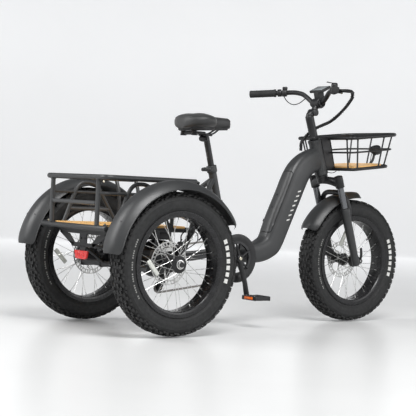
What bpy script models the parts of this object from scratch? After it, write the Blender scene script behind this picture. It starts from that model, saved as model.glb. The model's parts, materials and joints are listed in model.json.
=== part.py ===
"""Adult electric tricycle with fat tyres, a front basket and a rear rack.

Metres, +X forward, +Y to the rider's left, +Z up. Everything is laid out about the middle of the
wheelbase, and the last step shifts it so that the origin is under the middle of the bounding box.
"""

from math import atan2, cos, pi, radians, sin

import bmesh
import bpy
from mathutils import Matrix, Vector

# Driving dimensions
WHEELBASE = 1.272
TRACK = 0.656
WHEEL_RADIUS = 0.290
TYRE_HALF_WIDTH = 0.0485
RIM_RADIUS = 0.2105
RIM_INNER = 0.186
WHEEL_SEGMENTS = 28
ROTOR_RADIUS = 0.088
ROTOR_OFFSET = 0.039
CRANK_LENGTH = 0.170
CRANK_ANGLE = radians(-76.5)
BOTTOM_BRACKET = Vector((-0.107, 0.0, 0.298))
MOTOR_CENTRE = Vector((-0.485, 0.0, 0.290))
CHAINLINE = -0.065
CHAINRING_RADIUS = 0.089
CASSETTE_RADIUS = 0.058
HEAD_ANGLE = radians(70.5)
FORK_RAKE = 0.056
LEG_SPREAD = 0.084
LEG_SETBACK = 0.033
SEAT_LEAN = radians(15.9)
RACK_REAR = -0.911
RACK_FRONT = -0.4585
RACK_FLOOR_Z = 0.4195
RACK_TOP_Z = 0.621
BASKET_PITCH = radians(6.84)
GRIP_LENGTH = 0.122
X0 = 0.0185

REAR_AXLE = Vector((-WHEELBASE / 2, 0.0, WHEEL_RADIUS))
FRONT_AXLE = Vector((WHEELBASE / 2, 0.0, WHEEL_RADIUS))
STEER_UP = Vector((-cos(HEAD_ANGLE), 0.0, sin(HEAD_ANGLE)))
STEER_AHEAD = Vector((sin(HEAD_ANGLE), 0.0, cos(HEAD_ANGLE)))
STEER_BASE = FRONT_AXLE - FORK_RAKE * STEER_AHEAD
SEAT_UP = Vector((-sin(SEAT_LEAN), 0.0, cos(SEAT_LEAN)))
Y_AXIS = Vector((0.0, 1.0, 0.0))
Z_AXIS = Vector((0.0, 0.0, 1.0))

FINISHES = {
    "frame_paint": ((0.055, 0.058, 0.062), 0.45, 0.0),
    "black_metal": ((0.020, 0.020, 0.022), 0.40, 0.3),
    "black_plastic": ((0.018, 0.018, 0.019), 0.55, 0.0),
    "rubber": ((0.022, 0.022, 0.023), 0.80, 0.0),
    "steel": ((0.55, 0.56, 0.57), 0.30, 1.0),
    "wood": ((0.62, 0.38, 0.17), 0.50, 0.0),
    "saddle": ((0.025, 0.025, 0.027), 0.60, 0.0),
    "red_lens": ((0.75, 0.03, 0.02), 0.25, 0.0),
    "screen": ((0.45, 0.47, 0.48), 0.20, 0.0),
}


def clear_scene():
    for obj in list(bpy.data.objects):
        bpy.data.objects.remove(obj, do_unlink=True)


def finish_material(finish):
    found = bpy.data.materials.get(finish)
    if found:
        return found
    colour, roughness, metallic = FINISHES[finish]
    made = bpy.data.materials.new(finish)
    made.use_nodes = True
    shader = made.node_tree.nodes["Principled BSDF"]
    shader.inputs["Base Color"].default_value = (*colour, 1.0)
    shader.inputs["Roughness"].default_value = roughness
    shader.inputs["Metallic"].default_value = metallic
    return made


def solid(bm, name="piece"):
    """A linked object made from a bmesh whose faces are turned outwards."""
    bmesh.ops.recalc_face_normals(bm, faces=bm.faces)
    mesh = bpy.data.meshes.new(name)
    bm.to_mesh(mesh)
    bm.free()
    obj = bpy.data.objects.new(name, mesh)
    bpy.context.scene.collection.objects.link(obj)
    return obj


def combine(base, tools, operation):
    """Applies an exact Boolean of each tool to the base object, and removes the tools."""
    for tool in tools:
        step = base.modifiers.new(operation.lower(), "BOOLEAN")
        step.operation = operation
        step.solver = "EXACT"
        step.object = tool
    graph = bpy.context.evaluated_depsgraph_get()
    result = bpy.data.meshes.new_from_object(base.evaluated_get(graph))
    base.modifiers.clear()
    old = base.data
    base.data = result
    bpy.data.meshes.remove(old)
    for tool in tools:
        bpy.data.objects.remove(tool, do_unlink=True)
    return base


def union(pieces):
    return combine(pieces[0], pieces[1:], "UNION")


def cut(base, tools):
    return combine(base, tools, "DIFFERENCE")


def node(obj, name, finish, pivot=None):
    """Names a finished piece, gives it its material and puts its origin on its pivot."""
    obj.name = name
    obj.data.name = name
    obj.data.materials.clear()
    obj.data.materials.append(finish_material(finish))
    if pivot is not None:
        obj.data.transform(Matrix.Translation(-pivot))
        obj.location = pivot
    obj.data.shade_smooth()
    obj.data.set_sharp_from_angle(angle=radians(35))
    return obj


# Shapes


def frame_from(direction):
    """Two unit vectors square to a direction, the first as level as it can be."""
    direction = direction.normalized()
    side = direction.cross(Z_AXIS)
    if side.length < 1e-3:
        side = direction.cross(Y_AXIS)
    side.normalize()
    return side, side.cross(direction)


def loft(rings, closed=False):
    """A closed solid through rings of points, with flat ends unless it closes on itself."""
    bm = bmesh.new()
    rows = [[bm.verts.new(point) for point in ring] for ring in rings]
    count = len(rows[0])
    spans = len(rows) if closed else len(rows) - 1
    for i in range(spans):
        low, high = rows[i], rows[(i + 1) % len(rows)]
        for j in range(count):
            k = (j + 1) % count
            bm.faces.new((low[j], low[k], high[k], high[j]))
    if not closed:
        bm.faces.new(list(reversed(rows[0])))
        bm.faces.new(rows[-1])
    return solid(bm)


def circle(centre, across, along, radius, sides, turn=0.5):
    angles = [2 * pi * (i + turn) / sides for i in range(sides)]
    return [centre + radius * (cos(a) * across + sin(a) * along) for a in angles]


def rod(start, end, radius, sides=8, end_radius=None):
    """A straight round bar, tapered when its two radii differ."""
    start, end = Vector(start), Vector(end)
    across, along = frame_from(end - start)
    far = radius if end_radius is None else end_radius
    return loft([circle(start, across, along, radius, sides), circle(end, across, along, far, sides)])


def rounded_path(points, bend, steps=3, closed=False):
    """The points with each corner replaced by a short curve that starts the bend's length before it."""
    points = [Vector(p) for p in points]
    last = len(points) - 1
    path = []
    for i, corner in enumerate(points):
        if not closed and i in (0, last):
            path.append(corner)
            continue
        before, after = points[i - 1], points[(i + 1) % len(points)]
        reach_in = min(bend, (before - corner).length * 0.45)
        reach_out = min(bend, (after - corner).length * 0.45)
        start = corner + (before - corner).normalized() * reach_in
        end = corner + (after - corner).normalized() * reach_out
        for k in range(steps + 1):
            t = k / steps
            path.append((1 - t) ** 2 * start + 2 * t * (1 - t) * corner + t * t * end)
    return path


def tube(path, radius, sides=6, closed=False, flat=1.0):
    """A bar of round section swept along a path; flat squashes it along its second direction."""
    path = [Vector(p) for p in path]
    count = len(path)
    rings = []
    side = None
    for i, point in enumerate(path):
        before = path[i - 1] if closed or i else path[0]
        after = path[(i + 1) % count] if closed or i < count - 1 else path[-1]
        ahead = (after - before).normalized()
        if side is None:
            side, _ = frame_from(ahead)
        side = (side - side.dot(ahead) * ahead).normalized()
        up = side.cross(ahead)
        rings.append(circle(point, side * radius, up * radius * flat, 1.0, sides))
    return loft(rings, closed)


def turned(profile, centre, axis, sides=24, start_turn=0.0):
    """A closed profile of (radius, height) turned about an axis; radius 0 is a point on the axis."""
    axis = axis.normalized()
    across, along = frame_from(axis)
    bm = bmesh.new()
    rows = []
    for radius, height in profile:
        middle = centre + height * axis
        if radius < 1e-6:
            rows.append([bm.verts.new(middle)] * sides)
        else:
            rows.append(
                [bm.verts.new(p)
                for p in circle(middle, across, along, radius, sides, start_turn)]
            )
    for i, low in enumerate(rows):
        high = rows[(i + 1) % len(rows)]
        if low[0] is low[1] and high[0] is high[1]:
            continue
        for j in range(sides):
            k = (j + 1) % sides
            corners = []
            for corner in (low[j], low[k], high[k], high[j]):
                if corner not in corners:
                    corners.append(corner)
            bm.faces.new(corners)
    return solid(bm)


def plate(outline, direction, thickness):
    """A flat outline given thickness along a direction, evenly on both sides."""
    shift = Vector(direction).normalized() * thickness / 2
    points = [Vector(p) for p in outline]
    return loft([[p - shift for p in points], [p + shift for p in points]])


def block(centre, size, tilt=0.0, bevel=0.0):
    """A box tilted about Y, nose up for a positive tilt."""
    bm = bmesh.new()
    bmesh.ops.create_cube(bm, size=1.0)
    bmesh.ops.scale(bm, vec=size, verts=bm.verts)
    if bevel:
        bmesh.ops.bevel(bm, geom=bm.edges, offset=bevel, segments=1, affect="EDGES")
    turn = Matrix.Rotation(-tilt, 4, "Y")
    bmesh.ops.transform(bm, matrix=Matrix.Translation(Vector(centre)) @ turn, verts=bm.verts)
    return solid(bm)


# Main frame and battery

# Along the down tube: middle (x, z), direction of the tube's depth, half depth, half width
TUBE_STATIONS = (
    (-0.085, 0.305, -90, 0.030, 0.028),
    (-0.018, 0.315, -90, 0.040, 0.036),
    (0.054, 0.324, -88, 0.048, 0.043),
    (0.106, 0.343, -58, 0.052, 0.044),
    (0.136, 0.372, -37, 0.056, 0.044),
    (0.178, 0.467, -24, 0.059, 0.044),
    (0.230, 0.578, -24, 0.059, 0.044),
    (0.259, 0.643, -24, 0.060, 0.043),
    (0.290, 0.697, -30, 0.060, 0.040),
    (0.335, 0.735, -46, 0.058, 0.035),
    (0.398, 0.762, -70.5, 0.054, 0.028),
)
HEAD_TUBE_SPAN = (0.444, 0.612)


def down_tube_ring(station):
    """A rounded rectangle of twelve points round one station of the down tube."""
    x, z, turn, half_depth, half_width = station
    depth = Vector((cos(radians(turn)), 0.0, sin(radians(turn))))
    middle = Vector((x, 0.0, z))
    corner = 0.62 * min(half_depth, half_width)
    ring = []
    for quarter, (a, b) in enumerate(((1, 1), (-1, 1), (-1, -1), (1, -1))):
        inner = a * (half_depth - corner) * depth + b * (half_width - corner) * Y_AXIS
        for k in range(3):
            angle = pi / 2 * (quarter + k / 2)
            ring.append(middle + inner + corner * (cos(angle) * depth + sin(angle) * Y_AXIS))
    return ring


def down_tube():
    return loft([down_tube_ring(station) for station in TUBE_STATIONS])


BATTERY_ALONG = Vector((sin(radians(24)), 0.0, cos(radians(24))))
BATTERY_OUT = Vector((-cos(radians(24)), 0.0, sin(radians(24))))
BATTERY_LOW = Vector((0.157, 0.0, 0.420))
BATTERY_LENGTH = 0.270


def battery_block(depth_in, depth_out, half_width, trim):
    """A box lying along the down tube, reaching in towards the front and out towards the rider."""
    low = BATTERY_LOW + BATTERY_ALONG * trim
    high = BATTERY_LOW + BATTERY_ALONG * (BATTERY_LENGTH - trim)
    outline = [
        low - BATTERY_OUT * depth_in,
        low + BATTERY_OUT * depth_out,
        high + BATTERY_OUT * depth_out,
        high - BATTERY_OUT * depth_in,
    ]
    return plate(outline, Y_AXIS, 2 * half_width)


def battery_pack():
    cover = combine(down_tube(), [battery_block(-0.0330, 0.12, 0.06, 0.0012)], "INTERSECT")
    core = battery_block(0.0320, 0.0400, 0.0325, 0.012)
    return node(union([cover, core]), "battery_pack", "frame_paint", BATTERY_LOW)


def main_frame():
    low, high = HEAD_TUBE_SPAN
    head = rod(STEER_BASE + STEER_UP * low, STEER_BASE + STEER_UP * high, 0.0300, 20)
    shell = rod(BOTTOM_BRACKET - 0.036 * Y_AXIS, BOTTOM_BRACKET + 0.036 * Y_AXIS, 0.0290, 20)
    body = union([down_tube(), head, shell])
    pocket = battery_block(-0.0318, 0.12, 0.06, 0.0)
    well = battery_block(0.0335, 0.05, 0.0340, 0.0105)
    bore = rod(
        STEER_BASE + STEER_UP * (low - 0.02), STEER_BASE + STEER_UP * (high + 0.02), 0.0180, 20
    )
    axle_bore = rod(BOTTOM_BRACKET - 0.05 * Y_AXIS, BOTTOM_BRACKET + 0.05 * Y_AXIS, 0.0125, 20)
    return node(cut(body, [pocket, well, bore, axle_bore]), "main_frame", "frame_paint")


# Rear frame, axle housing, motor and secondary drive

INNER_PLATE_Y = 0.098
OUTER_PLATE_Y = 0.246
HOUSING_RADIUS = 0.020
SEAT_TUBE_TOP = 0.415


def seat_point(distance):
    return BOTTOM_BRACKET + SEAT_UP * distance


STAY_RADIUS = 0.0110
STAY_FALL = Vector((-0.958, 0.657, -1.0))


def stay_point(side, drop):
    """A point on a seat stay's middle line, a given height under its top."""
    return Vector((-0.2055, 0, 0.645)) + drop * Vector((STAY_FALL.x, side * STAY_FALL.y, STAY_FALL.z))


def rear_frame():
    """Seat tube, stays and the plates that carry the axle housing and the motor shaft."""
    seat_tube = rod(seat_point(0.0315), seat_point(SEAT_TUBE_TOP), 0.0180, 20)
    collar = rod(seat_point(0.395), seat_point(SEAT_TUBE_TOP), 0.0225, 20)
    ears = block(seat_point(0.405) + Vector((-0.026, 0, -0.007)), (0.020, 0.022, 0.016))
    gusset = plate(
        [seat_point(0.365), seat_point(0.29), seat_point(0.30) + Vector((-0.038, 0, -0.020))],
        Y_AXIS,
        0.008,
    )
    pieces = [seat_tube, collar, ears, gusset]
    for side in (-1, 1):
        stay_end = Vector((-0.5885, side * 0.2350, 0.3060))
        stay_path = [
            stay_point(side, 0.0) + Vector((0.012, 0, 0)),
            stay_point(side, 0.010),
            stay_point(side, 0.315),
            stay_end,
        ]
        pieces.append(tube(rounded_path(stay_path, 0.02, 2), STAY_RADIUS, 8))
        chainstay = [
            seat_point(0.055) + Vector((0.0, side * 0.006, 0)),
            seat_point(0.062) + Vector((-0.075, side * 0.030, -0.040)),
            Vector((-0.345, side * INNER_PLATE_Y, 0.300)),
            MOTOR_CENTRE + Vector((0.012, side * INNER_PLATE_Y, 0.004)),
        ]
        pieces.append(tube(rounded_path(chainstay, 0.05, 2), 0.0105, 8))
        inner_outline = [
            (-0.714, side * INNER_PLATE_Y, 0.246),
            (-0.714, side * INNER_PLATE_Y, 0.278),
            (-0.668, side * INNER_PLATE_Y, 0.326),
            (-0.600, side * INNER_PLATE_Y, 0.330),
            (-0.462, side * INNER_PLATE_Y, 0.312),
            (-0.462, side * INNER_PLATE_Y, 0.270),
            (-0.560, side * INNER_PLATE_Y, 0.250),
        ]
        pieces.append(plate(inner_outline, Y_AXIS, 0.007))
        outer_outline = [
            (-0.714, side * OUTER_PLATE_Y, 0.244),
            (-0.714, side * OUTER_PLATE_Y, 0.278),
            (-0.668, side * OUTER_PLATE_Y, 0.322),
            (-0.600, side * OUTER_PLATE_Y, 0.338),
            (-0.575, side * OUTER_PLATE_Y, 0.330),
            (-0.590, side * OUTER_PLATE_Y, 0.262),
            (-0.612, side * OUTER_PLATE_Y, 0.244),
        ]
        pieces.append(plate(outer_outline, Y_AXIS, 0.007))
    reach = OUTER_PLATE_Y * Y_AXIS
    middle = Vector((-0.6985, 0, 0.262))
    pieces.append(rod(middle - reach, middle + reach, 0.0120, 8))
    pieces += rack_bracket()
    half_shaft = INNER_PLATE_Y * Y_AXIS * 1.08
    motor_shaft = rod(MOTOR_CENTRE - half_shaft, MOTOR_CENTRE + half_shaft, 0.0070, 12)
    pieces.append(motor_shaft)
    body = union(pieces)
    bore = rod(seat_point(0.060), seat_point(SEAT_TUBE_TOP + 0.02), 0.0146, 20)
    holes = [rod(REAR_AXLE - 1.1 * reach, REAR_AXLE + 1.1 * reach, HOUSING_RADIUS + 0.0006, 20)]
    shell_room = rod(
        BOTTOM_BRACKET - 0.036 * Y_AXIS, BOTTOM_BRACKET + 0.036 * Y_AXIS, 0.0296, 20
    )
    lever_pin = rod(QR_PIVOT - 0.02 * Y_AXIS, QR_PIVOT + 0.02 * Y_AXIS, 0.0034, 10)
    return node(cut(body, [bore, shell_room, lever_pin] + holes), "rear_frame", "frame_paint")


QR_PIVOT = seat_point(0.405) + Vector((-0.030, 0, -0.008))


def seat_clamp_lever():
    """Quick-release lever and its skewer through the clamp's ears."""
    skewer = rod(QR_PIVOT - 0.026 * Y_AXIS, QR_PIVOT + 0.030 * Y_AXIS, 0.0028, 10)
    nut = rod(QR_PIVOT - 0.026 * Y_AXIS, QR_PIVOT - 0.0125 * Y_AXIS, 0.0075, 10)
    cam = rod(QR_PIVOT + 0.0125 * Y_AXIS, QR_PIVOT + 0.026 * Y_AXIS, 0.0080, 10)
    start = QR_PIVOT + 0.022 * Y_AXIS
    arm = tube(
        [start, start + Vector((0.020, 0.007, -0.003)), start + Vector((0.052, 0.006, -0.006))],
        0.0042,
        6,
    )
    return node(union([skewer, nut, cam, arm]), "seat_clamp_lever", "black_metal", QR_PIVOT)


def axle_housing():
    """Two axle tubes with the differential case between them, bored for the half shafts."""
    axle = REAR_AXLE
    beam = rod(axle - 0.262 * Y_AXIS, axle + 0.262 * Y_AXIS, HOUSING_RADIUS, 20)
    case = turned(
        [(0, -0.052), (0.040, -0.052), (0.055, -0.034), (0.055, 0.034), (0.040, 0.052), (0, 0.052)],
        axle,
        Y_AXIS,
        20,
    )
    body = union([beam, case])
    bore = rod(axle - 0.30 * Y_AXIS, axle + 0.30 * Y_AXIS, 0.0098, 16)
    return node(cut(body, [bore]), "axle_housing", "black_metal")


def motor():
    """Geared hub motor used as a jackshaft, with the freehub on its right side."""
    profile = [
        (0.0078, 0.0480),
        (0.0200, 0.0480),
        (0.0620, 0.0400),
        (0.0800, 0.0280),
        (0.0800, -0.0280),
        (0.0620, -0.0400),
        (0.0200, -0.0450),
        (0.0165, -0.0470),
        (0.0165, -0.0860),
        (0.0078, -0.0860),
    ]
    return node(turned(profile, MOTOR_CENTRE, Y_AXIS, 28), "motor", "black_metal", MOTOR_CENTRE)


def cassette():
    """Sprockets that shrink outwards, cut as steps of one turned body."""
    rings = 3
    profile = [(0.0172, -0.0500)]
    for i in range(rings):
        radius = CASSETTE_RADIUS - i * 0.0100
        start = -0.0500 - i * 0.0105
        profile += [
            (radius, start),
            (radius, start - 0.0022),
            (radius - 0.014, start - 0.0022),
            (radius - 0.014, start - 0.0105),
        ]
    profile.append((0.0172, -0.0500 - rings * 0.0105))
    return node(turned(profile, MOTOR_CENTRE, Y_AXIS, 20), "cassette", "steel", MOTOR_CENTRE)


def obround(centre_a, radius_a, centre_b, radius_b, y, steps=10):
    """Belt line round two circles in a plane square to Y."""
    ax, az = centre_a
    bx, bz = centre_b
    heading = atan2(bz - az, bx - ax)
    points = []
    for k in range(steps + 1):
        angle = heading + pi / 2 + pi * k / steps
        points.append(Vector((ax + radius_a * cos(angle), y, az + radius_a * sin(angle))))
    for k in range(steps + 1):
        angle = heading - pi / 2 + pi * k / steps
        points.append(Vector((bx + radius_b * cos(angle), y, bz + radius_b * sin(angle))))
    return points


def drive_case():
    """Flat guard over the second chain, from the motor's left side to the axle housing."""
    a = (REAR_AXLE.x, REAR_AXLE.z)
    b = (MOTOR_CENTRE.x, MOTOR_CENTRE.z)
    outline = obround(a, 0.046, b, 0.034, 0.0700)
    body = plate(outline, Y_AXIS, 0.026)
    axle_hole = rod(REAR_AXLE + 0.04 * Y_AXIS, REAR_AXLE + 0.10 * Y_AXIS, HOUSING_RADIUS + 0.0006, 20)
    shaft_hole = rod(MOTOR_CENTRE + 0.04 * Y_AXIS, MOTOR_CENTRE + 0.10 * Y_AXIS, 0.0085, 16)
    return node(cut(body, [axle_hole, shaft_hole]), "drive_case", "black_plastic")


# Pedal drive

LOWER_JOCKEY = Vector((-0.520, CHAINLINE, 0.172))
UPPER_JOCKEY = Vector((-0.497, CHAINLINE, 0.2155))
JOCKEY_RADIUS = 0.0160


def crank_point(angle, distance, y):
    return BOTTOM_BRACKET + Vector((cos(angle) * distance, y, sin(angle) * distance))


def crank_arm(angle, side):
    """A tapered arm from the spindle to the pedal's thread."""
    root = crank_point(angle, -0.004, side * 0.0890)
    tip = crank_point(angle, CRANK_LENGTH + 0.004, side * 0.1010)
    arm = tube([root, crank_point(angle, 0.05, side * 0.0935), tip], 0.0070, 8, flat=1.75)
    root_boss = rod(crank_point(0, 0, side * 0.0800), crank_point(0, 0, side * 0.0975), 0.0165, 16)
    tip_boss = rod(
        crank_point(angle, CRANK_LENGTH, side * 0.0930),
        crank_point(angle, CRANK_LENGTH, side * 0.1080),
        0.0130,
        14,
    )
    return [arm, root_boss, tip_boss]


def cranks():
    """Right crank with its spider, left crank with the spindle, and the chainring with its guard."""
    centre = BOTTOM_BRACKET
    right_parts = crank_arm(CRANK_ANGLE, -1)
    for i in range(5):
        angle = CRANK_ANGLE + 2 * pi * (i + 0.5) / 5
        right_parts.append(
            rod(crank_point(angle, 0.004, -0.0835), crank_point(angle, 0.0680, -0.0802), 0.0056, 6)
        )
    right = union(right_parts)
    spindle_room = rod(centre - 0.120 * Y_AXIS, centre - 0.070 * Y_AXIS, 0.0086, 16)
    node(cut(right, [spindle_room]), "crank_right", "black_metal", centre)
    left = union(
        crank_arm(CRANK_ANGLE + pi, 1) + [
            rod(centre - 0.0960 * Y_AXIS, centre + 0.088 * Y_AXIS, 0.0082, 16)
        ]
    )
    node(left, "crank_left", "black_metal", centre)
    ring_profile = [
        (0.0640, -0.0590),
        (CHAINRING_RADIUS, -0.0635),
        (CHAINRING_RADIUS, -0.0660),
        (0.0760, -0.0660),
        (0.0760, -0.0690),
        (0.1070, -0.0690),
        (0.1070, -0.0730),
        (0.0640, -0.0730),
    ]
    bridge = plate([crank_point(pi / 2 * k, 0.067, -0.066) for k in range(4)], Y_AXIS, 0.004)
    ring = turned(ring_profile, centre, Y_AXIS, 28)
    hub_hole = rod(centre - 0.08 * Y_AXIS, centre - 0.05 * Y_AXIS, 0.0200, 16)
    windows = []
    for i in range(4):
        angle = pi / 2 * (i + 0.5)
        windows.append(
            rod(crank_point(angle, 0.036, -0.08), crank_point(angle, 0.036, -0.05), 0.0095, 10)
        )
    node(cut(union([ring, bridge]), [hub_hole] + windows), "chainring", "black_metal", centre)


def pedal(angle, side):
    """A cage pedal with its axle stub, level under the rider's foot."""
    hub = crank_point(angle, CRANK_LENGTH, side * 0.165)
    body = block(hub, (0.088, 0.094, 0.020), 0.0, 0.004)
    slots = [block(hub + Vector((dx, 0, 0)), (0.020, 0.070, 0.05)) for dx in (-0.0255, 0.0255)]
    body = cut(body, slots)
    stub = rod(crank_point(angle, CRANK_LENGTH, side * 0.1088), hub, 0.0060, 10)
    name = "pedal_left" if side > 0 else "pedal_right"
    return node(union([body, stub]), name, "black_plastic", hub)


def jockey(name, centre):
    profile = [(0.0034, 0.0030), (JOCKEY_RADIUS, 0.0014), (JOCKEY_RADIUS, -0.0014), (0.0034, -0.0030)]
    return node(turned(profile, centre, Y_AXIS, 14), name, "black_plastic", centre)


def derailleur():
    """Hanger, parallelogram body and cage plate with the two jockey pins."""
    y = CHAINLINE - 0.0120
    hanger = plate(
        [
            (-0.470, -0.0935, 0.274),
            (-0.492, -0.0935, 0.272),
            (-0.506, -0.0935, 0.232),
            (-0.490, -0.0935, 0.226),
        ],
        Y_AXIS,
        0.0014,
    )
    knuckle = rod((-0.497, -0.0940, 0.233), (-0.497, y + 0.0020, 0.228), 0.0100, 10)
    cage = plate(
        [
            (UPPER_JOCKEY.x - 0.009, y, UPPER_JOCKEY.z + 0.011),
            (UPPER_JOCKEY.x + 0.011, y, UPPER_JOCKEY.z + 0.006),
            (LOWER_JOCKEY.x + 0.009, y, LOWER_JOCKEY.z - 0.011),
            (LOWER_JOCKEY.x - 0.011, y, LOWER_JOCKEY.z - 0.005),
        ],
        Y_AXIS,
        0.0030,
    )
    pieces = [cage, knuckle, hanger]
    for pin in (UPPER_JOCKEY, LOWER_JOCKEY):
        pieces.append(rod(pin + Vector((0, -0.0125, 0)), pin + Vector((0, 0.0045, 0)), 0.0028, 8))
    return node(union(pieces), "derailleur", "black_metal")


def pedal_chain():
    """The whole loop of chain: over the ring, over a sprocket and back through the two jockeys."""
    y = CHAINLINE
    half = 0.0028
    lift = 0.0042
    centre = BOTTOM_BRACKET
    path = []
    for k in range(11):
        angle = radians(88 - 17.4 * k)
        reach = CHAINRING_RADIUS + lift + 0.0014
        path.append(Vector((centre.x + reach * cos(angle), y, centre.z + reach * sin(angle))))
    reach = JOCKEY_RADIUS + lift
    for jockey_centre, start, end, steps in (
        (LOWER_JOCKEY, -80, -263.1, 8),
        (UPPER_JOCKEY, -83.1, 68.1, 7),
    ):
        for k in range(steps + 1):
            angle = radians(start + (end - start) * k / steps)
            path.append(
                Vector((jockey_centre.x + reach * cos(angle), y, jockey_centre.z + reach * sin(angle)))
            )
    sprocket = CASSETTE_RADIUS - 0.0100 + lift + 0.0012
    for k in range(8):
        angle = radians(-111.9 - 155.1 * k / 7)
        path.append(
            Vector((MOTOR_CENTRE.x + sprocket * cos(angle), y, MOTOR_CENTRE.z + sprocket * sin(angle)))
        )
    rings = []
    count = len(path)
    for i, point in enumerate(path):
        ahead = (path[(i + 1) % count] - path[i - 1]).normalized()
        out = Y_AXIS.cross(ahead)
        rings.append(
            [point + a * 0.0034 * out + b * half * Y_AXIS
            for a, b in ((1, 1), (1, -1), (-1, -1), (-1, 1))]
        )
    return node(loft(rings, closed=True), "pedal_chain", "steel")


# Wheels


def tyre(name, centre, y):
    """Carcass with an open inside, its two beads sitting in the rim."""
    outer = [
        (0.191, -0.0368),
        (0.2128, -0.0368),
        (0.238, -TYRE_HALF_WIDTH),
        (0.268, -0.0460),
        (WHEEL_RADIUS, -0.0200),
    ]
    inner = [(0.191, 0.0300), (0.250, 0.0400), (0.2780, 0.0200)]
    profile = outer + [(r, -h) for r, h in reversed(outer)]
    profile += inner + [(r, -h) for r, h in reversed(inner)]
    middle = centre + y * Y_AXIS
    return node(turned(profile, middle, Y_AXIS, WHEEL_SEGMENTS), name, "rubber", middle)


def rim(name, centre, y):
    half = [(RIM_RADIUS, 0.0410), (0.1905, 0.0410), (RIM_INNER, 0.0300)]
    well = [(RIM_RADIUS, -0.0378), (0.1892, -0.0378), (0.1892, 0.0378), (RIM_RADIUS, 0.0378)]
    profile = half + [(r, -h) for r, h in reversed(half)] + well
    middle = centre + y * Y_AXIS
    return node(turned(profile, middle, Y_AXIS, WHEEL_SEGMENTS), name, "black_metal", middle)


def spokes(middle, flange_radius, flange_half, count=18):
    """Spokes from the two hub flanges to the rim; each side leans its own way."""
    made = []
    for i in range(count):
        side = 1 if i % 2 else -1
        rim_angle = 2 * pi * (i + 0.5) / count
        hub_angle = rim_angle + side * radians(55)
        start = Vector(
            (cos(hub_angle) * flange_radius, side * flange_half, sin(hub_angle) * flange_radius)
        )
        end = Vector((cos(rim_angle) * 0.1843, side * 0.010, sin(rim_angle) * 0.1843))
        made.append(rod(middle + start, middle + end, 0.0014, 3))
    return made


def rotor(name, centre, y):
    """Brake disc: friction ring, arms and a mounting ring."""
    middle = centre + y * Y_AXIS
    ring = turned(
        [(0.070, 0.001), (ROTOR_RADIUS, 0.001), (ROTOR_RADIUS, -0.001), (0.070, -0.001)],
        middle,
        Y_AXIS,
        24,
    )
    hub = turned(
        [(0.0175, 0.001), (0.0270, 0.001), (0.0270, -0.001), (0.0175, -0.001)],
        middle,
        Y_AXIS,
        12,
    )
    arms = []
    for i in range(6):
        angle = 2 * pi * i / 6
        inner = middle + 0.024 * Vector((cos(angle), 0, sin(angle)))
        outer = middle + 0.074 * Vector((cos(angle + 0.5), 0, sin(angle + 0.5)))
        side = (outer - inner).cross(Y_AXIS).normalized() * 0.0045
        arms.append(
            plate([inner - side, inner + side, outer + side * 0.8, outer - side * 0.8], Y_AXIS, 0.0016)
        )
    return node(union([ring] + arms + [hub]), name, "steel", middle)


def rear_wheel(suffix, side):
    y = side * TRACK / 2
    middle = REAR_AXLE + y * Y_AXIS
    tyre(f"tyre_rear_{suffix}", REAR_AXLE, y)
    rim(f"rim_rear_{suffix}", REAR_AXLE, y)
    shell = turned(
        [
            (0, -0.2830),
            (0.0090, -0.2830),
            (0.0090, -0.0376),
            (0.0250, -0.0376),
            (0.0340, -0.0320),
            (0.0340, -0.0260),
            (0.0230, -0.0200),
            (0.0230, 0.0200),
            (0.0340, 0.0260),
            (0.0340, 0.0320),
            (0.0260, 0.0400),
            (0.0110, 0.0420),
            (0.0110, 0.0520),
            (0, 0.0520),
        ],
        middle,
        side * Y_AXIS,
        12,
    )
    hub = union([shell] + spokes(middle, 0.0315, 0.0290))
    node(hub, f"hub_rear_{suffix}", "black_metal", middle)
    rotor(f"rotor_rear_{suffix}", REAR_AXLE, y - side * ROTOR_OFFSET)


def front_wheel():
    tyre("tyre_front", FRONT_AXLE, 0)
    rim("rim_front", FRONT_AXLE, 0)
    profile = [(0.0058, 0.0560), (0.0150, 0.0560), (0.0150, 0.0516), (0.0160, 0.0460), (0.0300, 0.0340)]
    profile += [(0.0300, 0.0280), (0.0170, 0.0200)]
    profile += [(r, -h) for r, h in reversed(profile)]
    shell = turned(profile, FRONT_AXLE, Y_AXIS, 14)
    node(union([shell] + spokes(FRONT_AXLE, 0.0275, 0.0310)), "hub_front", "black_metal", FRONT_AXLE)
    rotor("rotor_front", FRONT_AXLE, 0.0490)


def caliper(name, centre, y, away, direction, lug_outline, lug_y, width=0.0310, radius=0.0820):
    """Brake caliper: a body with a slot that straddles the disc, and its mounting lug."""
    middle = centre + y * Y_AXIS + direction * radius
    tilt = atan2(direction.x, direction.z)
    outwards = away * (width / 2 - 0.0093) * Y_AXIS
    body = block(middle + outwards, (0.040, width, 0.046), -tilt, 0.005)
    slot_profile = [(0.005, 0.0028), (0.0915, 0.0028), (0.0915, -0.0028), (0.005, -0.0028)]
    slot = turned(slot_profile, centre + y * Y_AXIS, Y_AXIS, 32)
    start, end = lug_y
    outline = [centre + Vector((x, (start + end) / 2, z)) for x, z in lug_outline]
    lug = plate(outline, Y_AXIS, abs(end - start))
    return node(union([cut(body, [slot]), lug]), name, "black_metal")


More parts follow.
